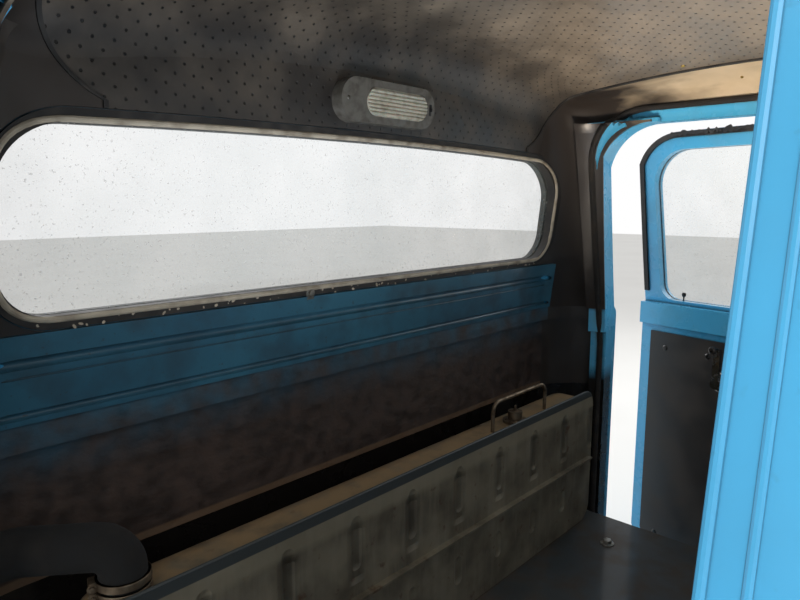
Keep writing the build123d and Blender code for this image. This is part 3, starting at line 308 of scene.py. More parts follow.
def patched(kind, name, colour, second, rough):
    """A colour with duller patches of a second one. Boards have faint waves as well."""
    values, patches, duller, grain, depth_mm = RECIPES[kind]
    material, place = finish(name, **values)
    amount = cloud(place, *patches)
    gloss = add("MapRange", {"Value": amount, "To Min": rough, "To Max": rough + duller})
    bumps = relief(cloud(place, *grain), depth_mm)
    if kind == "board":
        bumps = relief(cloud(place, 150, 0.3, 0.7, 1), 1.0, bumps)
    dress(material, Base_Color=coat(colour, amount, second), Roughness=gloss, Normal=bumps)
    return material


mount_rubber = patched("rubber", "moulded_mount_rubber", "191817", "302e2b", 0.75)
hose_rubber = patched("rubber", "woven_hose_rubber", "0c0b0a", "1a1714", 0.95)
window_rubber = patched("rubber", "hardened_window_rubber", "1c1a19", "3b3733", 0.62)
windlace_cloth = patched("rubber", "black_windlace_cloth", "1b1918", "35302b", 0.85)
worn_lip = patched("rubber", "cream_worn_rubber_lip", "b9ae9b", "837767", 0.6)
bright_plate = patched("metal", "worn_bright_plate", "b9b8b4", "85827c", 0.16)
brass = patched("metal", "tarnished_brass", "c9a861", "7d6436", 0.28)
zinc = patched("metal", "dull_zinc_plate", "8f8d87", "5d574e", 0.42)
dusty_steel = patched("metal", "dusty_brown_steel", "7d6f5e", "46392d", 0.5)
lamp_bezel = patched("plastic", "grey_lamp_bezel", "625f59", "4a463f", 0.34)
wheel_plastic = patched("plastic", "black_wheel_plastic", "1a1918", "2f2c29", 0.2)
dial_black = patched("plastic", "satin_dial_black", "17181a", "232325", 0.4)
dial_ivory = patched("plastic", "ivory_dial_print", "e6dfca", "c3b89b", 0.5)
needle_paint = patched("plastic", "orange_needle_paint", "b5481f", "8d3c22", 0.4)
lamp_lens = patched("plastic", "cream_moulded_lens", "b6b1a2", "948d7c", 0.26)
lamp_lens.node_tree.nodes["Principled BSDF"].inputs["Subsurface Weight"].default_value = 0.15
print("rubber, metal and plastic", len(bpy.data.materials))

# %% Smooth boards
# The side boards are painted a light tan as painted light, and darker towards the rear window as
# painted shade.
door_board = patched("board", "door_trim_board", "2a2827", "38322d", 0.42)
side_board_painted_light = patched("board", "smooth_pressed_board", "b5a286", "c6b295", 0.3)
place = add("TexCoord", {}, "Object", side_board_painted_light.node_tree)
shade_border_noise = cloud(place, 60, 0.35, 0.65, 10, (1, 0.5, 1))
coat_on(side_board_painted_light, spread(place, "Y", 0.36, 0.54, shade_border_noise, 0.12), "332d29")
print("boards", door_board.name, side_board_painted_light.name)

# %% [markdown]
# The board under the rear window is older: dark brown, lightly wrinkled by damp, with
# blue overspray along its top edge and a bare brown strip along its bottom edge.

# %% Wrinkled board
OVERSPRAY_TOP = 0.783
OVERSPRAY_BOTTOM = 0.690
EDGE_STRIP_TOP = 0.583

wrinkled_board, place = finish("wrinkled_trim_board", IOR=1.5)
mottle = cloud(place, 26, 0.38, 0.66, 10)
tone = coat("2a211d", mottle, "3d2f28")
overspray = spread(place, "Z", OVERSPRAY_BOTTOM, OVERSPRAY_TOP)
drift = cloud(place, 45, 0.25, 0.75, 8)
tone = coat(tone, meeting(overspray, drift), "2c5b70")
strip = spread(place, "Z", EDGE_STRIP_TOP, EDGE_STRIP_TOP - 0.003)
tone = coat(tone, strip, "5c4836")
gloss = add("MapRange", {"Value": mottle, "To Min": 0.5, "To Max": 0.72})
wrinkle = cloud(place, 22, 0.3, 0.7, 5, (0.6, 1, 1))
bumps = relief(wrinkle, 0.9)
dress(wrinkled_board, Base_Color=tone, Roughness=gloss, Normal=bumps)
print("overspray from", OVERSPRAY_BOTTOM, "to", OVERSPRAY_TOP)

# %% [markdown]
# The fuel tank is pressed from terne plate, steel coated in lead and tin, which turns
# dull grey. Brown dust lies on its top but not on the bare flange in front. The solid
# has upright channels, and the finish deepens them with a bump at the same places and
# paints them darker, partly as dirt and partly as painted shade.

# %% Terne plate
DUST_START = 0.560
CHANNEL_PITCH = 0.130
CHANNEL_TOP = 0.562
CHANNEL_BOTTOM = 0.462
CHANNEL_END = 0.012
FLANGE_Y = 0.509

tank_plate, place = finish("dull_terne_plate", Metallic=0.35, Roughness=0.55)
blotch = cloud(place, 70, 0.35, 0.7, 8)
plate = coat("7c7463", blotch, "50493d")
streaks = cloud(place, 60, 0.48, 0.62, 6, (4, 4, 0.5))
plate = coat(plate, meeting(streaks, 0.22), "8f8676")
rust = cloud(place, 24, 0.62, 0.7, 8)
plate = coat(plate, meeting(rust, 0.7), "4e2f1c")
print("plate with rust and streaks")

# %% Channels, dust and flange of the tank
across = add("SeparateXYZ", {0: place}, "X")
phase = add("Math", {0: across, 1: CHANNEL_PITCH}, operation="DIVIDE")
phase = add("Math", {0: phase}, operation="FRACT")
aside = add("Math", {0: phase, 1: 0.5}, operation="SUBTRACT")
aside = add("Math", {0: aside}, operation="ABSOLUTE")
channel = meeting(
    add("MapRange", {"Value": aside, "From Min": 0.15, "From Max": 0.06}),
    spread(place, "Z", CHANNEL_TOP, CHANNEL_TOP - CHANNEL_END),
    spread(place, "Z", CHANNEL_BOTTOM, CHANNEL_BOTTOM + CHANNEL_END),
    spread(place, "Y", 0.520, 0.515),
)
# The channels are painted darker: partly dirt, partly painted shade.
plate = coat(plate, meeting(channel, 0.4), "27231d")
dust = meeting(
    spread(place, "Z", DUST_START, DUST_START + 0.012),
    spread(place, "Y", FLANGE_Y - 0.002, FLANGE_Y),
    cloud(place, 40, 0.2, 0.55, 6),
)
plate = coat(plate, dust, "9a8160")
in_front = spread(place, "Y", FLANGE_Y, FLANGE_Y - 0.001)
# A band under the flange is painted lighter, as painted light on the front's rounded top.
painted_light_band = meeting(in_front, spread(place, "Z", 0.556, 0.568), 0.6)
plate = coat(plate, painted_light_band, "8d8470")
# The flange is painted a darker bluish grey: bare plate, with a painted bluish reflection.
flange = meeting(in_front, spread(place, "Z", 0.5885, 0.5895))
plate = coat(plate, flange, "3d4141")
hollow = add("Math", {0: 1.0, 1: channel}, operation="SUBTRACT")
bumps = relief(blotch, 0.25, relief(hollow, 6.0))
dress(tank_plate, Base_Color=plate, Normal=bumps)
print("channels every", CHANNEL_PITCH, "m")

# %% [markdown]
# Window glass is clear, but its dust and specks catch the light. Real glass bends the
# light twice, which is slow to trace and darkens the room behind. A pane is thin and
# flat, so a mostly see-through surface looks the same, less clear where dust lies.

# %% Dusty safety glass
window_glass, place = finish("dusty_safety_glass", IOR=1.52, Roughness=0.05)
haze = cloud(place, 120, 0.3, 0.8, 6)
specks = cloud(place, 4, 0.66, 0.70, 2)
veil = add("MapRange", {"Value": haze, "To Min": 0.08, "To Max": 0.18})
spotted = {0: veil, 1: meeting(specks, 0.5)}
veil = add("Math", spotted, operation="MAXIMUM")
dress(window_glass, Alpha=veil, Base_Color=coat("c5d2d0", specks, "f2efe8"))
print("finishes", len(bpy.data.materials))

# %% [markdown]
# Every CAD part takes a finish by its slot in the record, and a few parts differ from
# the rest of their slot, such as the blue panels inside the cab, which are darker, partly as dirt
# and partly as painted shade.

# %% Finishes on the CAD parts
SLOT_FINISH = {
    "cab_paint": sky_enamel, "floor_paint": floor_enamel, "chassis_black": chassis_enamel,
    "mount_rubber": mount_rubber, "hose_rubber": hose_rubber, "window_rubber": window_rubber,
    "tank_steel": tank_plate, "window_glass": window_glass, "trim_board": side_board_painted_light,
    "headliner_board": headliner_board, "lamp_metal": lamp_bezel, "lamp_lens": lamp_lens,
    "instrument_metal": dial_black, "wheel_plastic": wheel_plastic, "bright_metal": bright_plate,
}
NODE_FINISH = {
    "back_panel": enamel_with_painted_shade_inside, "rear_corner_left": enamel_with_painted_shade_inside,
    "rear_corner_right": enamel_with_painted_shade_inside, "rear_inner_panel": inner_enamel_dirt_and_shade,
    "rear_board": wrinkled_board, "door_trim_left": door_board, "door_trim_right": door_board,
    "headliner_beads": window_rubber, "tank_fittings": dusty_steel,
}
slots = {part["node"]: part["material_slot"] for part in frame["record"]["subparts"]}
for name, part in nodes.items():
    material = NODE_FINISH.get(name) or SLOT_FINISH[slots[name]]
    if not part.material_slots:
        part.data.materials.append(material)
    for material_slot in part.material_slots:
        material_slot.material = material
print("finished nodes", len(nodes))

# %% [markdown]
# The cab is seen through its open right door, by a wide lens that looks slightly down.
# The floor is pale. The world is white to the camera but lights the cab less.

# %% Camera
def placed(name, data):
    """An object made of data, in the scene."""
    made = bpy.data.objects.new(name, data)
    bpy.context.scene.collection.objects.link(made)
    return made


SENSOR_MM = 36
LENS_MM = 29.25
camera = placed("camera", bpy.data.cameras.new("camera"))
camera.data.lens = LENS_MM
camera.data.sensor_width = SENSOR_MM
camera.data.clip_start = 0.005
camera.location = (-0.836, -0.180, 1.050)
LOOK_DOWN = radians(8.6)
LOOK_ALONG = Vector((0.735, 0.678, 0)).normalized() * cos(LOOK_DOWN)
look = Vector((LOOK_ALONG.x, LOOK_ALONG.y, -sin(LOOK_DOWN)))
camera.rotation_euler = look.to_track_quat("-Z", "Y").to_euler()
bpy.context.scene.camera = camera
print("camera at", list(camera.location))

# %% Floor
floor_mesh = bpy.data.meshes.new("studio_floor")
shape = bmesh.new()
bmesh.ops.create_grid(shape, x_segments=1, y_segments=1, size=20)
shape.to_mesh(floor_mesh)
shape.free()
floor = placed("studio_floor", floor_mesh)
floor_paint, place = finish("pale_studio_floor", Roughness=0.9)
faint = cloud(place, 900, 0.3, 0.7)
dress(floor_paint, Base_Color=coat("e9e8e5", faint, "e4e3e0"))
floor_mesh.materials.append(floor_paint)
floor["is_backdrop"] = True
print("floor", floor_paint.name)

# %% [markdown]
# Four large lamps stand round the cab. Sunlit ground also throws light up under a roof.
# A lamp outside strong enough for that would burn the paint out, so two small spots
# inside the cab do it.

# %% Lamps
DAYLIGHT = (1.0, 1.0, 1.0)
WARM_GROUND = (1.0, 0.86, 0.70)
COOL_SKY = (0.88, 0.93, 1.0)
CAB_MIDDLE = (0, 0, 0.7)
ROOF_CORNER = (0.5, 0.2, 1.32)
ROOF_MIDDLE = (-0.15, 0.30, 1.35)
SPOT_RADIUS = 0.12

# Each lamp is a name, kind, place, target, power and colour, and a size or a cone's angle.
for name, kind, location, target, power, colour, wide in (
    ("key", "AREA", (-3.2, -3.0, 3.2), CAB_MIDDLE, 60, DAYLIGHT, 2.6),
    ("rear", "AREA", (0.8, 3.8, 2.6), CAB_MIDDLE, 70, DAYLIGHT, 3.0),
    ("left", "AREA", (4.0, -0.6, 2.4), CAB_MIDDLE, 50, DAYLIGHT, 2.6),
    ("right_ground", "AREA", (-3.4, -0.9, 0.35), CAB_MIDDLE, 42, DAYLIGHT, 1.2),
    ("floor_bounce", "SPOT", (-0.10, 0.0, 0.45), ROOF_CORNER, 50, WARM_GROUND, radians(62)),
    ("step_bounce", "SPOT", (-0.45, 0.0, 0.45), ROOF_MIDDLE, 30, COOL_SKY, radians(84)),
):
    lamp = bpy.data.lights.new(name, kind)
    lamp.energy = power
    lamp.color = colour
    stand = placed(name, lamp)
    stand.location = location
    aim = Vector(target) - Vector(location)
    stand.rotation_euler = aim.to_track_quat("-Z", "Y").to_euler()
    if kind == "AREA":
        lamp.size = wide
        continue
    lamp.spot_size = wide
    lamp.spot_blend = 0.9
    lamp.shadow_soft_size = SPOT_RADIUS
    stand.visible_camera = False
print("lamps", [lamp.name for lamp in bpy.data.lights])

# %% World
world = bpy.data.worlds.new("studio")
bpy.context.scene.world = world
world.use_nodes = True
SKY_LIGHT = 0.8
seen = add("LightPath", {}, "Is Camera Ray", world.node_tree)
for kind in ("Is Glossy Ray", "Is Transmission Ray"):
    ray = add("LightPath", {}, kind, world.node_tree)
    seen = add("Math", {0: seen, 1: ray}, operation="MAXIMUM")
strength = add("MapRange", {"Value": seen, "To Min": SKY_LIGHT, "To Max": 1.0})
sky = world.node_tree.nodes["Background"]
sky.inputs["Color"].default_value = (1, 1, 1, 1)
world.node_tree.links.new(strength, sky.inputs["Strength"])
bpy.context.scene.view_settings.view_transform = "Standard"
print("world lights the cab at", SKY_LIGHT)

# %% [markdown]
# The small pieces are bmesh shapes on the CAD parts that carry them. On a curved panel
# a typed place would be guesswork. So a ray is sent at the named parts, as one would
# push a screw home, and the piece sits where it hits. A point seen in the photograph
# is found with the same ray from the camera.

# %% Rays from the camera and onto parts
PHOTO_SIZE = (800, 600)
FOCAL_PIXELS = PHOTO_SIZE[0] * LENS_MM / SENSOR_MM
# Rays start on planes inside the cab, or outside its skin.
INSIDE_X = 0.45
INSIDE_Y = 0.30
OUTSIDE_X = 1.0
shift = Matrix.Translation
depsgraph = bpy.context.evaluated_depsgraph_get()
trees = {}


def hit(names, start, direction):
    """The first point where a ray meets the named CAD parts, and the way it faces."""
    direction = Vector(direction).normalized()
    found = None
    for name in names:
        if name not in trees:
            trees[name] = BVHTree.FromObject(nodes[name], depsgraph)
        point, normal, _, reach = trees[name].ray_cast(Vector(start), direction)
        if point is not None and (found is None or reach < found[2]):
            found = (point, normal if normal.dot(direction) < 0 else -normal, reach)
    return found


def photo_ray(across, down):
    """The direction from the camera through a point of the 800 by 600 photograph."""
    right = (across - PHOTO_SIZE[0] / 2) / FOCAL_PIXELS
    up = (PHOTO_SIZE[1] / 2 - down) / FOCAL_PIXELS
    return camera.rotation_euler.to_matrix() @ Vector((right, up, -1))


def facing(place, direction, turn=0.0):
    """A place with its own Z along direction, for a shape that is made at the origin."""
    turned = Vector(direction).to_track_quat("Z", "Y").to_matrix().to_4x4()
    return shift(place) @ turned @ Matrix.Rotation(turn, 4, "Z")


def spoke(angle, radius, height):
    """A place at an angle round the origin."""
    return Vector((radius * cos(angle), radius * sin(angle), height))


# %% Pieces, discs, boxes, screws and bolts
SMOOTH_BELOW = radians(35)


def piece(name, shape, material, body="cab"):
    """Turns a bmesh into a finished object that rides on a body of the CAD model."""
    bmesh.ops.recalc_face_normals(shape, faces=shape.faces)
    for face in shape.faces:
        face.smooth = True
    for edge in shape.edges:
        edge.smooth = len(edge.link_faces) == 2 and edge.calc_face_angle(0) < SMOOTH_BELOW
    mesh = bpy.data.meshes.new(name)
    shape.to_mesh(mesh)
    shape.free()
    mesh.materials.append(material)
    made = placed(name, mesh)
    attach(made, body)
    low, high = [
        [round(end(v.co[axis] for v in mesh.vertices), 3) for axis in range(3)] for end in (min, max)
    ]
    print(name, len(mesh.polygons), "faces, from", low, "to", high)
    return made


def edges_of(verts):
    """Every edge that ends at one of the points."""
    return list({e for v in verts for e in v.link_edges})


def rounded(shape, verts, edges, rim, segments):
    """Rounds edges of a shape and gives its points afterwards."""
    bevelled = bmesh.ops.bevel(
        shape, geom=edges, offset=rim, offset_type="OFFSET", affect="EDGES",
        segments=segments, profile=0.5, material=-1,
    )
    return list(set(v for v in verts if v.is_valid) | set(bevelled["verts"]))


def cylinder(shape, matrix, radius, height, top=None, segments=24, rim=0.0):
    """A disc or cone standing on its place, with a rounded rim."""
    made = bmesh.ops.create_cone(
        shape, cap_ends=True, segments=segments, radius1=radius,
        radius2=radius if top is None else top, depth=height,
    )
    verts = made["verts"]
    bmesh.ops.translate(shape, vec=(0, 0, height / 2), verts=verts)
    if rim:
        edges = [e for e in edges_of(verts) if all(v.co.z > height * 0.99 for v in e.verts)]
        verts = rounded(shape, verts, edges, rim, 3)
    bmesh.ops.transform(shape, matrix=matrix, verts=verts)
    return verts


def slab(shape, matrix, size, rim):
    """A box with rounded edges, centred on its place."""
    verts = bmesh.ops.create_cube(shape, size=1.0)["verts"]
    bmesh.ops.scale(shape, vec=size, verts=verts)
    verts = rounded(shape, verts, edges_of(verts), rim, 2)
    bmesh.ops.transform(shape, matrix=matrix, verts=verts)
    return verts


def screw(shape, place, direction, radius, turn=0.0):
    """A domed screw head with a slot."""
    height = radius * 0.45
    matrix = facing(place, direction, turn)
    verts = cylinder(shape, matrix, radius, height, radius * 0.82, 16)
    top = max(
        (f for f in {f for v in verts for f in v.link_faces} if len(f.verts) == 16),
        key=lambda f: (matrix.inverted() @ f.calc_center_median()).z,
    )
    bmesh.ops.inset_individual(shape, faces=[top], thickness=radius * 0.3, depth=height * 0.4)
    bmesh.ops.scale(shape, vec=(1.2, 0.3, 1), space=matrix.inverted(), verts=top.verts)
    bmesh.ops.inset_individual(shape, faces=[top], thickness=radius * 0.02, depth=-height * 0.5)


def screw_onto(shape, names, start, direction, radius, turn):
    """A screw head where a ray meets the named parts. Gives its place."""
    found = hit(names, start, direction)
    screw(shape, found[0], found[1], radius, turn)
    return found[0]


def hexagon(shape, place, direction, radius, turn=0.0):
    """A bolt head on a washer."""
    matrix = facing(place, direction, turn)
    cylinder(shape, matrix, radius * 1.55, radius * 0.22, rim=radius * 0.08)
    cylinder(shape, matrix @ shift((0, 0, radius * 0.2)), radius, radius * 0.75,
             segments=6, rim=radius * 0.12)


# %% Lines, beads and turned shapes
def as_mesh(curve):
    """The mesh of a curve or text, which is then removed."""
    holder = bpy.data.objects.new("holder", curve)
    mesh = bpy.data.meshes.new_from_object(holder)
    bpy.data.objects.remove(holder)
    bpy.data.curves.remove(curve)
    return mesh


def traced(kind, places, closed, thickness=0.0):
    """A curve through places as a mesh: a bare line, or a round bead with a thickness."""
    curve = bpy.data.curves.new("line", "CURVE")
    curve.dimensions = "3D"
    curve.bevel_depth = thickness
    curve.bevel_resolution = 3
    curve.use_fill_caps = True
    spline = curve.splines.new(kind)
    spline.points.add(len(places) - 1)
    for point, place in zip(spline.points, places):
        point.co = (*place, 1)
    spline.order_u = 3
    spline.resolution_u = 12
    spline.use_cyclic_u = closed
    spline.use_endpoint_u = not closed
    return as_mesh(curve)


def soft_line(corners, radii, closed):
    """A smooth line past corners, each rounded off by about its radius."""
    corners = [Vector(corner) for corner in corners]
    controls = []
    for index, corner in enumerate(corners):
        if not closed and index in (0, len(corners) - 1):
            controls.append(corner)
            continue
        before, after = corners[index - 1], corners[(index + 1) % len(corners)]
        reach = 2 * radii[index]
        controls.append(corner + (before - corner).normalized() * reach)
        controls.append(corner)
        controls.append(corner + (after - corner).normalized() * reach)
    return [v.co.copy() for v in traced("NURBS", controls, closed).vertices]


def bead(name, places, radius, material, closed=False):
    """A round bead along places."""
    shape = bmesh.new()
    shape.from_mesh(traced("POLY", places, closed, radius))
    bmesh.ops.remove_doubles(shape, verts=shape.verts, dist=0.00005)
    return piece(name, shape, material)


def short_steps(rungs, step):
    """The rungs of a ladder, with more between them, so that none is a step apart."""
    for here, after in zip(rungs, rungs[1:]):
        count = max(1, ceil((after[0] - here[0]).length / step))
        for index in range(count):
            yield [low.lerp(high, index / count) for low, high in zip(here, after)]


def lathe(shape, profile, matrix, steps):
    """A turned shape: its profile, radius and height, spun round and put in place."""
    turned = bmesh.new()
    verts = [turned.verts.new((radius, 0, height)) for radius, height in profile]
    edges = [turned.edges.new(ends) for ends in zip(verts, verts[1:])]
    bmesh.ops.spin(
        turned, geom=verts + edges, cent=(0, 0, 0), axis=(0, 0, 1),
        angle=tau, steps=steps, use_merge=True,
    )
    bmesh.ops.remove_doubles(turned, verts=turned.verts, dist=0.00002)
    bmesh.ops.transform(turned, matrix=matrix, verts=turned.verts)
    mesh = bpy.data.meshes.new("turned")
    turned.to_mesh(mesh)
    turned.free()
    shape.from_mesh(mesh)


# %% [markdown]
# The rear window's rubber has a thin lip against the glass, which paint and sun have
# turned cream. It follows the opening: a line is laid round it and each of its points
# is pushed onto the rubber.

# %% Rear window lip
WINDOW_HALF = 0.610
WINDOW_LOW = 0.912
WINDOW_HIGH = 1.152
WINDOW_ARCH = 0.012
LIP_GROWTH = 0.004
LIP_RADIUS = 0.0042
LIP_SUNK = 0.0015

half, low, high = WINDOW_HALF + LIP_GROWTH, WINDOW_LOW - LIP_GROWTH, WINDOW_HIGH + LIP_GROWTH
side_high = high - WINDOW_ARCH
corners = [(-half, 0, low), (half, 0, low), (half, 0, side_high), (half / 2, 0, high - 0.003),
           (0, 0, high), (-half / 2, 0, high - 0.003), (-half, 0, side_high)]
lip_line = []
for place in soft_line(corners, [0.070, 0.070, 0.095, 0.1, 0.1, 0.1, 0.095], True):
    found = hit(["rear_seal"], (place.x, INSIDE_Y, place.z), (0, 1, 0))
    if found:
        lip_line.append(found[0] + Vector((0, LIP_SUNK, 0)))
bead("rear_window_lip", lip_line, LIP_RADIUS, worn_lip, True)

# %% [markdown]
# Flakes of old paint and rubber lie along the bottom of the window, and one small bolt
# holds a clip there. Loose bits look right when no two are alike, so each flake is a
# squashed ball with its own size and turn, from a fixed seed.

# %% Flakes and clip under the rear window
FLAKES = 90
chance = random.Random(7)
shape = bmesh.new()
for index in range(FLAKES):
    x = chance.uniform(-0.59, 0.59)
    z = WINDOW_LOW - chance.uniform(0.004, 0.017)
    found = hit(["rear_seal", "rear_inner_panel"], (x, INSIDE_Y, z), (0, 1, 0))
    if not found:
        continue
    size = chance.uniform(0.6, 2.6) * MM
    matrix = facing(found[0], found[1], chance.uniform(0, 6)) @ Matrix.Diagonal(
        (chance.uniform(0.8, 2.2), 1, 0.35, 1))
    bmesh.ops.create_icosphere(shape, subdivisions=1, radius=size, matrix=matrix)
piece("window_flakes", shape, worn_lip)
shape = bmesh.new()
found = hit(["rear_seal", "rear_inner_panel"], camera.location, photo_ray(310, 293))
clip_place, clip_facing = found[0], Vector((0, -1, 0))
slab(shape, facing(clip_place, clip_facing), (0.016, 0.022, 0.003), 0.001)
hexagon(shape, clip_place + clip_facing * 0.0012, clip_facing, 0.0055, 0.3)
piece("window_clip", shape, zinc)

# %% [markdown]
# Brass screws hold the headliner's edge. The photograph shows one on the seam beside
# the far door and a small one behind it, and the near side has the same two.

# %% Headliner screws
shape = bmesh.new()
liner = ["headliner_beads", "headliner_sides", "headliner_centre"]
for across, down, radius in ((683, 66, 0.0042), (742, 77, 0.003)):
    ray = photo_ray(across, down)
    x, y, z = screw_onto(shape, liner, camera.location, ray, radius, across * 0.01)
    screw_onto(shape, liner, (-x, y, z - 0.1), (0, 0, 1), radius, down * 0.01)
piece("headliner_screws", shape, brass)

# %% [markdown]
# The dome lamp has a ribbed cream lens in an oval bezel. Its switch is a small slide
# in a slot at one end, and a screw at the other end holds the bezel to the board.

# %% Dome lamp switch and screw
LAMP_Z = 1.215
shape = bmesh.new()
found = hit(["dome_lamp_bezel"], (0.1025, INSIDE_Y, LAMP_Z), (0, 1, 0))
lamp_facing = found[1]
slab(shape, facing(found[0], lamp_facing), (0.006, 0.020, 0.0016), 0.0006)
slab(shape, facing(found[0] + lamp_facing * 0.002, lamp_facing), (0.004, 0.007, 0.005), 0.001)
piece("lamp_switch", shape, dial_black)
shape = bmesh.new()
screw_onto(shape, ["dome_lamp_bezel"], (-0.100, INSIDE_Y, LAMP_Z), (0, 1, 0), 0.0035, 0.7)
piece("lamp_screw", shape, zinc)

# %% [markdown]
# A windlace is a fabric-covered bead that closes the gap between door and trim. It runs
# up one side of the door opening, over the top and down the other side. It is sewn
# tight, without folds, so a round bead is enough.

# %% Windlace round the door openings
WINDLACE_RADIUS = 0.007
SIDES = {"left": 1, "right": -1}


def opening_line(grow, rise):
    """The door opening's edge in side view, grown at its sides and risen at its top."""
    corners = [
        (0, -0.330 - grow, 0.12), (0, -0.330 - grow, 0.735 + grow), (0, -0.150 - grow, 0.765 + grow),
        (0, -0.150 - grow, 1.226 + rise), (0, 0.545 + grow, 1.226 + rise), (0, 0.545 + grow, 0.12),
    ]
    return soft_line(corners, [0, 0.045, 0.045, 0.060, 0.130, 0], False)


for name, side in SIDES.items():
    walls = ["roof_panel", "gutters", "headliner_sides", "sill_" + name,
             "hinge_pillar_" + name, "rear_corner_" + name, "cowl_top"]
    line = []
    for place in opening_line(0.010, 0.032):
        found = hit(walls, (side * INSIDE_X, place.y, place.z), (side, 0, 0))
        if found and abs(found[0].x) > 0.5:
            line.append(found[0] - Vector((side * WINDLACE_RADIUS * 0.5, 0, 0)))
    bead("windlace_" + name, line, WINDLACE_RADIUS, windlace_cloth)

# %% [markdown]
# The skin's edge round each door opening is rolled over and catches the light. A pressed
# ridge runs up the pillar beside it. Both are thin beads, laid on in short steps so that
# they follow the skin.

# %% Rolled edges of the door openings
EDGE_RADIUS = 0.0011
RIDGE_RADIUS = 0.0009
RIDGE = [(0, -0.1576, 0.880), (0, -0.1576, 1.150)]

for name, side in SIDES.items():
    skin = ["roof_panel", "sill_" + name, "hinge_pillar_" + name, "rear_corner_" + name]
    for kind, line, radius in (
        ("rolled_edge_", opening_line(EDGE_RADIUS, EDGE_RADIUS), EDGE_RADIUS),
        ("pressed_ridge_", [Vector(end) for end in RIDGE], RIDGE_RADIUS),
    ):
        dense = [rung[0] for rung in short_steps([(place,) for place in line], 0.008)]
        places = []
        for place in dense + [line[-1]]:
            found = hit(skin, (side * OUTSIDE_X, place.y, place.z), (-side, 0, 0))
            if found and abs(found[0].x) > 0.6:
                places.append(found[0] - found[1] * radius * 0.3)
        bead(kind + name, places, radius, sky_enamel)

# %% [markdown]
# A painted steel flange covers the lower edge of the side board over each door and runs
# out round the corners. A flat grid is laid between the opening's edge and a higher
# line, and each of its points is pressed on by a ray.

# %% Header flanges
FLANGE_ROWS = 3
FLANGE_END_Z = 1.10
FLANGE_SUNK = 0.0004
FLANGE_THICKNESS = 0.0012

for name, side in SIDES.items():
    walls = ["headliner_sides", "hinge_pillar_" + name, "rear_corner_" + name]
    pairs = [
        (low, high)
        for low, high in zip(opening_line(0.0005, 0.0005), opening_line(0.004, 0.026))
        if low.z > FLANGE_END_Z
    ]
    dense = list(short_steps(pairs, 0.010))
    shape = bmesh.new()
    bmesh.ops.create_grid(shape, x_segments=len(dense) - 1, y_segments=FLANGE_ROWS, size=0.5)
    for vert in shape.verts:
        low, high = dense[round((vert.co.x + 0.5) * (len(dense) - 1))]
        place = low.lerp(high, vert.co.y + 0.5)
        probe = low.lerp(high, max(vert.co.y + 0.5, 0.4))
        found = hit(walls, (side * INSIDE_X, probe.y, probe.z), (side, 0, 0))
        vert.co = (found[0].x - side * FLANGE_SUNK, place.y, place.z)
    shape.normal_update()
    bmesh.ops.solidify(shape, geom=shape.faces[:], thickness=FLANGE_THICKNESS)
    piece("header_flange_" + name, shape, sky_enamel)

# %% [markdown]
# The filler hose is held by two worm clamps, each a thin steel band with a small screw
# housing on it. The band is a short disc round the hose and the housing a block.

# %% Hose clamps
NECK = Vector((-0.534, 0.545, 0.590))
BAND_RADIUS = 0.0322
BAND_HEIGHT = 0.009
shape = bmesh.new()
for height in (0.0085, 0.0215):
    matrix = shift(NECK + Vector((0, 0, height - BAND_HEIGHT / 2)))
    cylinder(shape, matrix, BAND_RADIUS, BAND_HEIGHT, segments=40, rim=0.001)
    housing = shift(NECK + Vector((-0.033, 0.010, height)))
    housing @= Matrix.Rotation(radians(-108), 4, "Z")
    slab(shape, housing, (0.018, 0.008, 0.010), 0.0015)
    end = housing @ Vector((0.012, 0, 0))
    hexagon(shape, end, housing.to_3x3() @ Vector((1, 0, 0)), 0.0038)
piece("hose_clamps", shape, dusty_steel)

# %% [markdown]
# The tank's front plate ends in a flange that is folded and welded to the tank. Its top
# edge is a rounded fold, which shows as a thin line of light. A bead follows its edge.

# %% Fold on the tank's flange
flange_edge = soft_line(
    [(-0.589, 0.5055, 0.40), (-0.589, 0.5055, 0.604), (0.589, 0.5055, 0.604), (0.589, 0.5055, 0.40)],
    [0, 0.042, 0.042, 0], False,
)
bead("tank_flange_fold", flange_edge, 0.0029, tank_plate)

# %% [markdown]
# The sender stands on the tank's top under a round plate with five screws and one stud
# with a nut. Screws set round a circle are one loop of angles.

# %% Sender screws and stud
SENDER = Vector((0.300, 0.537, 0.590))
PLATE_TOP = 0.006
SCREWS = 5
SCREW_CIRCLE = 0.0205
shape = bmesh.new()
for index in range(SCREWS):
    angle = tau * index / SCREWS
    screw(shape, SENDER + spoke(angle, SCREW_CIRCLE, PLATE_TOP), (0, 0, 1), 0.0032, angle)
hexagon(shape, SENDER + Vector((0, 0, 0.024)), (0, 0, 1), 0.0045)
cylinder(shape, shift(SENDER + Vector((0, 0, 0.028))), 0.0022, 0.008, rim=0.0005)
piece("sender_screws", shape, dusty_steel)

# %% [markdown]
# The wheel is a hard plastic rim moulded over steel. To the CAD's rim, spokes and hub
# are added a horn button with a bright ring, and finger grips behind the rim. They turn
# with the wheel, so they ride on its body.

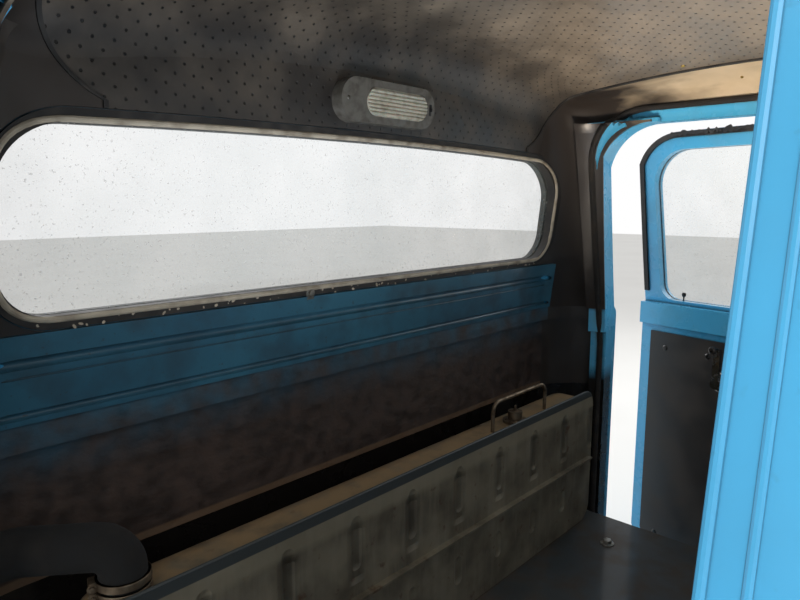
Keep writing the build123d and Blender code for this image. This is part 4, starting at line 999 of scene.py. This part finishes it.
# %% Horn button and finger grips
HUB_REACH = 0.05
GRIP_CIRCLE = 0.212
GRIPS = 48
HUB = Vector((0.380, -0.130, 0.780))
TILT = radians(38)
STEER_UP = Vector((0, sin(TILT), cos(TILT)))
wheel_matrix = facing(HUB, STEER_UP)
from_hub = [v.co - HUB for v in nodes["steering_wheel"].data.vertices]
hub_height = max(reach.dot(STEER_UP) for reach in from_hub if reach.length < HUB_REACH)
hub_matrix = wheel_matrix @ shift((0, 0, hub_height))
shape = bmesh.new()
cylinder(shape, hub_matrix, 0.030, 0.005, 0.027, 40, 0.001)
piece("horn_ring", shape, bright_plate, "steering")
shape = bmesh.new()
button_matrix = hub_matrix @ shift((0, 0, 0.004))
cylinder(shape, button_matrix, 0.023, 0.007, 0.019, 40, 0.003)
piece("horn_button", shape, wheel_plastic, "steering")
shape = bmesh.new()
for index in range(GRIPS):
    # None sits where a spoke meets the rim.
    if index % 16 in (0, 1, 15):
        continue
    angle = tau * index / GRIPS
    behind_rim = wheel_matrix @ shift(spoke(angle, GRIP_CIRCLE, -0.0085))
    slab(shape, behind_rim @ Matrix.Rotation(angle, 4, "Z"), (0.019, 0.014, 0.009), 0.0035)
piece("wheel_grips", shape, wheel_plastic, "steering")
print("hub height", round(hub_height, 4))

# %% [markdown]
# The instrument is one round dial with a bright rim. Its print is an arc of strokes with
# numbers from 0 to 80, and a needle on a small boss. Numbers are text turned into a
# mesh, and strokes are thin boxes set round the arc.

# %% Instrument dial
DIAL = Vector((0.380, -0.387, 0.684))
DIAL_TURN = Matrix.Rotation(radians(-90), 4, "X") @ Matrix.Rotation(pi, 4, "Z")
DIAL_MATRIX = shift(DIAL) @ DIAL_TURN
DIAL_START = radians(210)
DIAL_SWEEP = radians(240)
STROKES = 17
STROKE_CIRCLE = 0.062
NUMBER_CIRCLE = 0.041
PRINT_HEIGHT = 0.0012
RIM_CIRCLE = 0.0745
RIM_HEIGHT = 0.010
RIM_RADIUS = 0.0042


def dial_angle(share):
    """The angle on the dial at a share of its sweep."""
    return DIAL_START - share * DIAL_SWEEP


shape = bmesh.new()
for index in range(STROKES):
    angle = dial_angle(index / (STROKES - 1))
    length = 0.010 if index % 4 == 0 else 0.006
    matrix = DIAL_MATRIX @ shift(spoke(angle, STROKE_CIRCLE - length / 2, PRINT_HEIGHT))
    slab(shape, matrix @ Matrix.Rotation(angle, 4, "Z"), (length, 0.0016, 0.0008), 0.0002)
for index in range(5):
    angle = dial_angle(index / 4)
    text = bpy.data.curves.new("number", "FONT")
    text.body = str(index * 20)
    text.size = 0.014
    text.extrude = 0.0004
    text.align_x = "CENTER"
    text.align_y = "CENTER"
    number = as_mesh(text)
    number.transform(DIAL_MATRIX @ shift(spoke(angle, NUMBER_CIRCLE, PRINT_HEIGHT)))
    shape.from_mesh(number)
piece("dial_print", shape, dial_ivory)
shape = bmesh.new()
needle_turn = Matrix.Rotation(dial_angle(0.03), 4, "Z")
needle_place = DIAL_MATRIX @ needle_turn @ shift((0.020, 0, 0.003))
slab(shape, needle_place, (0.060, 0.0022, 0.001), 0.0003)
cylinder(shape, DIAL_MATRIX @ shift((0, 0, 0.001)), 0.007, 0.004, 0.006, 24, 0.001)
piece("dial_needle", shape, needle_paint)
shape = bmesh.new()
turns = [tau * index / 10 for index in range(11)]
ring = [(RIM_CIRCLE + RIM_RADIUS * sin(t), RIM_HEIGHT + RIM_RADIUS * cos(t)) for t in turns]
lathe(shape, ring, DIAL_MATRIX, 64)
piece("dial_rim", shape, bright_plate)

# %% [markdown]
# Round knobs on the dash pull and turn the switches. A knob is a lathe shape: its
# profile is a few points, spun round its stem.

# %% Dash knobs
KNOB_PROFILE = ((0, 0), (0.35, 0), (0.35, 0.45), (0.75, 0.55), (1, 0.72), (0.95, 0.92),
                (0.6, 1), (0, 1.02))


def knob_on(shape, place, direction, radius, length):
    """A lathe-turned knob with a waist and a domed face."""
    lathe(shape, [(radius * r, length * z) for r, z in KNOB_PROFILE], facing(place, direction), 24)


shape = bmesh.new()
for x in (0.215, 0.160, 0.105, -0.020, -0.075):
    found = hit(["dash_panel"], (x, -0.2, 0.655), (0, -1, 0))
    knob_on(shape, found[0], found[1], 0.0125, 0.024)
piece("dash_knobs", shape, wheel_plastic)

# %% [markdown]
# The doors need the fittings that a hand meets: a lock knob on the sill, a keyhole
# under the outer handle, and round plates behind the winder and the handles. Each place
# is worked out on the closed door and swung about the hinge, as the CAD does.

# %% Door fittings
HINGE_X = 0.802
HINGE_Y = -0.330
DOOR_TURN = {"left": radians(-13), "right": radians(60)}


def door_place(name):
    """From a place on the closed left door to the same place on the open door."""
    side = SIDES[name]
    hinge = shift((side * HINGE_X, HINGE_Y, 0))
    opened = hinge @ Matrix.Rotation(DOOR_TURN[name], 4, "Z") @ hinge.inverted()
    return opened @ Matrix.Diagonal((side, 1, 1, 1))


# Each plate is a side of the door, a place, and a disc's radius, height, top and segments.
KEYHOLE = (0.470, 0.655)
PLATES = (
    (INSIDE_X, (0.300, 0.600), (0.026, 0.003, 0.023, 32)),
    (INSIDE_X, (0.120, 0.640), (0.026, 0.003, 0.023, 32)),
    (OUTSIDE_X, (0.418, 0.698), (0.014, 0.003, 0.012, 28)),
    (OUTSIDE_X, (0.512, 0.698), (0.014, 0.003, 0.012, 28)),
    (OUTSIDE_X, KEYHOLE, (0.010, 0.004, 0.009, 28)),
)

for name in SIDES:
    move = door_place(name)
    outwards = (move.to_3x3() @ Vector((1, 0, 0))).normalized()
    body = "door_" + name + "_body"
    shell = ["door_shell_" + name, "door_trim_" + name]
    shape = bmesh.new()
    for x, place, disc in PLATES:
        towards = outwards if x == INSIDE_X else -outwards
        found = hit(shell, move @ Vector((x, *place)), towards)
        cylinder(shape, facing(found[0], -towards), *disc, 0.001)
    piece("door_escutcheons_" + name, shape, bright_plate, body)
    shape = bmesh.new()
    found = hit(shell, move @ Vector((OUTSIDE_X, *KEYHOLE)), -outwards)
    slab(shape, facing(found[0] + outwards * 0.004, outwards), (0.0018, 0.008, 0.0006), 0.0001)
    found = hit(shell, move @ Vector((0.752, 0.430, 1.0)), (0, 0, -1))
    knob_on(shape, found[0], (0, 0, 1), 0.0055, 0.022)
    knob_on(shape, move @ Vector((0.698, 0.300, 0.690)), -outwards, 0.010, 0.024)
    for y in (-0.20, 0.0, 0.18, 0.34, 0.46):
        for z in (0.130, 0.660):
            found = hit(["door_trim_" + name], move @ Vector((INSIDE_X, y, z)), outwards)
            cylinder(shape, facing(found[0], -outwards), 0.008, 0.002, 0.005, 16, 0.0005)
    piece("door_knobs_" + name, shape, wheel_plastic, body)

# %% [markdown]
# The rubber along the far door's top edge has come off its channel and torn. A thin
# flat strip is cut into short lengths, and its upper and lower edges are moved up, down
# and inwards by chance.

# %% Torn rubber on the far door
STRIP_HALF_HEIGHT = 0.0045
chance = random.Random(3)
shape = bmesh.new()
grid = bmesh.ops.create_grid(shape, x_segments=70, y_segments=2, size=0.5)
bmesh.ops.scale(shape, vec=(0.42, 2 * STRIP_HALF_HEIGHT, 1), verts=grid["verts"])
for vert in shape.verts:
    ragged = 0.3 + 0.7 * sin(vert.co.x * 23) ** 2
    if abs(vert.co.y) > STRIP_HALF_HEIGHT * 0.5:
        vert.co.y += chance.uniform(-0.008, 0.006) * ragged
        vert.co.z -= chance.uniform(0, 0.003) * ragged
upright = Matrix(((0, 0, 1, 0), (1, 0, 0, 0), (0, 1, 0, 0), (0, 0, 0, 1)))
along_top = door_place("left") @ shift((0.6525, 0.225, 1.2155)) @ upright
bmesh.ops.transform(shape, matrix=along_top, verts=shape.verts)
shape.normal_update()
bmesh.ops.solidify(shape, geom=shape.faces[:], thickness=0.0015)
piece("torn_weatherstrip", shape, window_rubber, "door_left_body")

# %% [markdown]
# Each hinge leaf is bolted on. Three bolt heads sit on the pillar's leaf and three on
# the door's leaf, and each group rides on the body that it is screwed to.

# %% Hinge bolts
LEAF_SCREW_RADIUS = 0.0065

for name, side in SIDES.items():
    pillar = Matrix.Diagonal((side, 1, 1, 1))
    door = ["door_shell_" + name]
    for kind, move, names, body, spin, edge, middle in (
        ("pillar", pillar, ["hinge_leaves"], "cab", 40, -0.395, -0.372),
        ("door", door_place(name), door, "door_" + name + "_body", 50, -0.268, -0.292),
    ):
        inwards = move.to_3x3() @ Vector((-1, 0, 0))
        shape = bmesh.new()
        for low in (0.220, 0.640):
            for y, z in ((edge, 0.016), (edge, 0.054), (middle, 0.035)):
                start = move @ Vector((OUTSIDE_X, y, low + z))
                screw_onto(shape, names, start, inwards, LEAF_SCREW_RADIUS, z * spin)
        piece(kind + "_hinge_screws_" + name, shape, zinc, body)

# %% [markdown]
# The pedals have ribbed rubber pads, whose ribs are small blocks that rays press on.
# The gear lever comes up through a folded rubber boot, a profile spun round it.

# %% Pedal pads and gear boot
shape = bmesh.new()
pedal_low, pedal_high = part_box("pedals")
TOE_RUN = Vector((0, -0.180, 0.240)).normalized()
TOE_UP = Vector((0, TOE_RUN.z, -TOE_RUN.y))
RIB_COLUMNS = 40
RIB_ROWS = 9
RIB_PITCH = 0.014
first_x = pedal_low.x + 0.02
run_x = pedal_high.x - pedal_low.x - 0.04
for column in range(RIB_COLUMNS + 1):
    x = first_x + run_x * column / RIB_COLUMNS
    for row in range(RIB_ROWS):
        start = Vector((x, -0.46, 0.06)) + TOE_RUN * (0.04 + row * RIB_PITCH) + TOE_UP * 0.30
        found = hit(["pedals"], start, -TOE_UP)
        if found and found[1].dot(TOE_UP) > 0.95 and (found[0] - start).length < 0.27:
            matrix = facing(found[0] + TOE_UP * 0.0015, TOE_UP)
            slab(shape, matrix, (0.0105, 0.005, 0.004), 0.0012)
piece("pedal_ribs", shape, hose_rubber)
LEVER_FOOT = Vector((0, -0.250, 0))
BOOT_SUNK = 0.004
found = hit(["floor_pan"], LEVER_FOOT + Vector((0.050, 0, 0.60)), (0, 0, -1))
boot_place = LEVER_FOOT + Vector((0, 0, found[0].z - BOOT_SUNK))
shape = bmesh.new()
BOOT_PROFILE = (
    (0.062, 0.0), (0.062, 0.006), (0.048, 0.010), (0.050, 0.020), (0.038, 0.026), (0.041, 0.038),
    (0.029, 0.044), (0.032, 0.056), (0.020, 0.062), (0.020, 0.074), (0.0165, 0.076),
)
lathe(shape, BOOT_PROFILE, shift(boot_place), 40)
bmesh.ops.recalc_face_normals(shape, faces=shape.faces)
bmesh.ops.solidify(shape, geom=shape.faces[:], thickness=0.002)
piece("gear_boot", shape, hose_rubber)

# %% [markdown]
# Over each mount the floor has a steel washer and bolt, and the seat riser has its own.
# They are the same bolt head at another size.

# %% Mount and riser bolts
shape = bmesh.new()
for x in (-0.430, 0.430):
    for y in (-0.400, 0.400):
        found = hit(["floor_pan"], (x, y, 0.20), (0, 0, -1))
        hexagon(shape, found[0], (0, 0, 1), 0.013, x + y)
for x in (-0.500, 0.500):
    for y in (0.130, 0.410):
        hexagon(shape, Vector((x, y, 0.280)), (0, 0, 1), 0.010, x - y)
piece("body_bolts", shape, zinc)

# %% [markdown]
# The firewall has rubber plugs where wires and pipes go through and in unused holes.
# Each is a disc with a raised button.

# %% Firewall plugs
shape = bmesh.new()
# Each is its place across and up, and its radius.
PLUGS = (
    (-0.300, 0.560, 0.020), (-0.420, 0.430, 0.014), (0.220, 0.600, 0.016),
    (0.310, 0.520, 0.024), (0.420, 0.640, 0.014), (-0.220, 0.640, 0.018),
)
for x, z, radius in PLUGS:
    found = hit(["firewall"], (x, -1.0, z), (0, 1, 0))
    matrix = facing(found[0], found[1])
    cylinder(shape, matrix, radius, 0.0024, radius * 0.92, 28, 0.0008)
    button = matrix @ shift((0, 0, 0.0016))
    cylinder(shape, button, radius * 0.55, 0.0024, radius * 0.45, 24, 0.0008)
piece("firewall_plugs", shape, mount_rubber)

low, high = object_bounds()
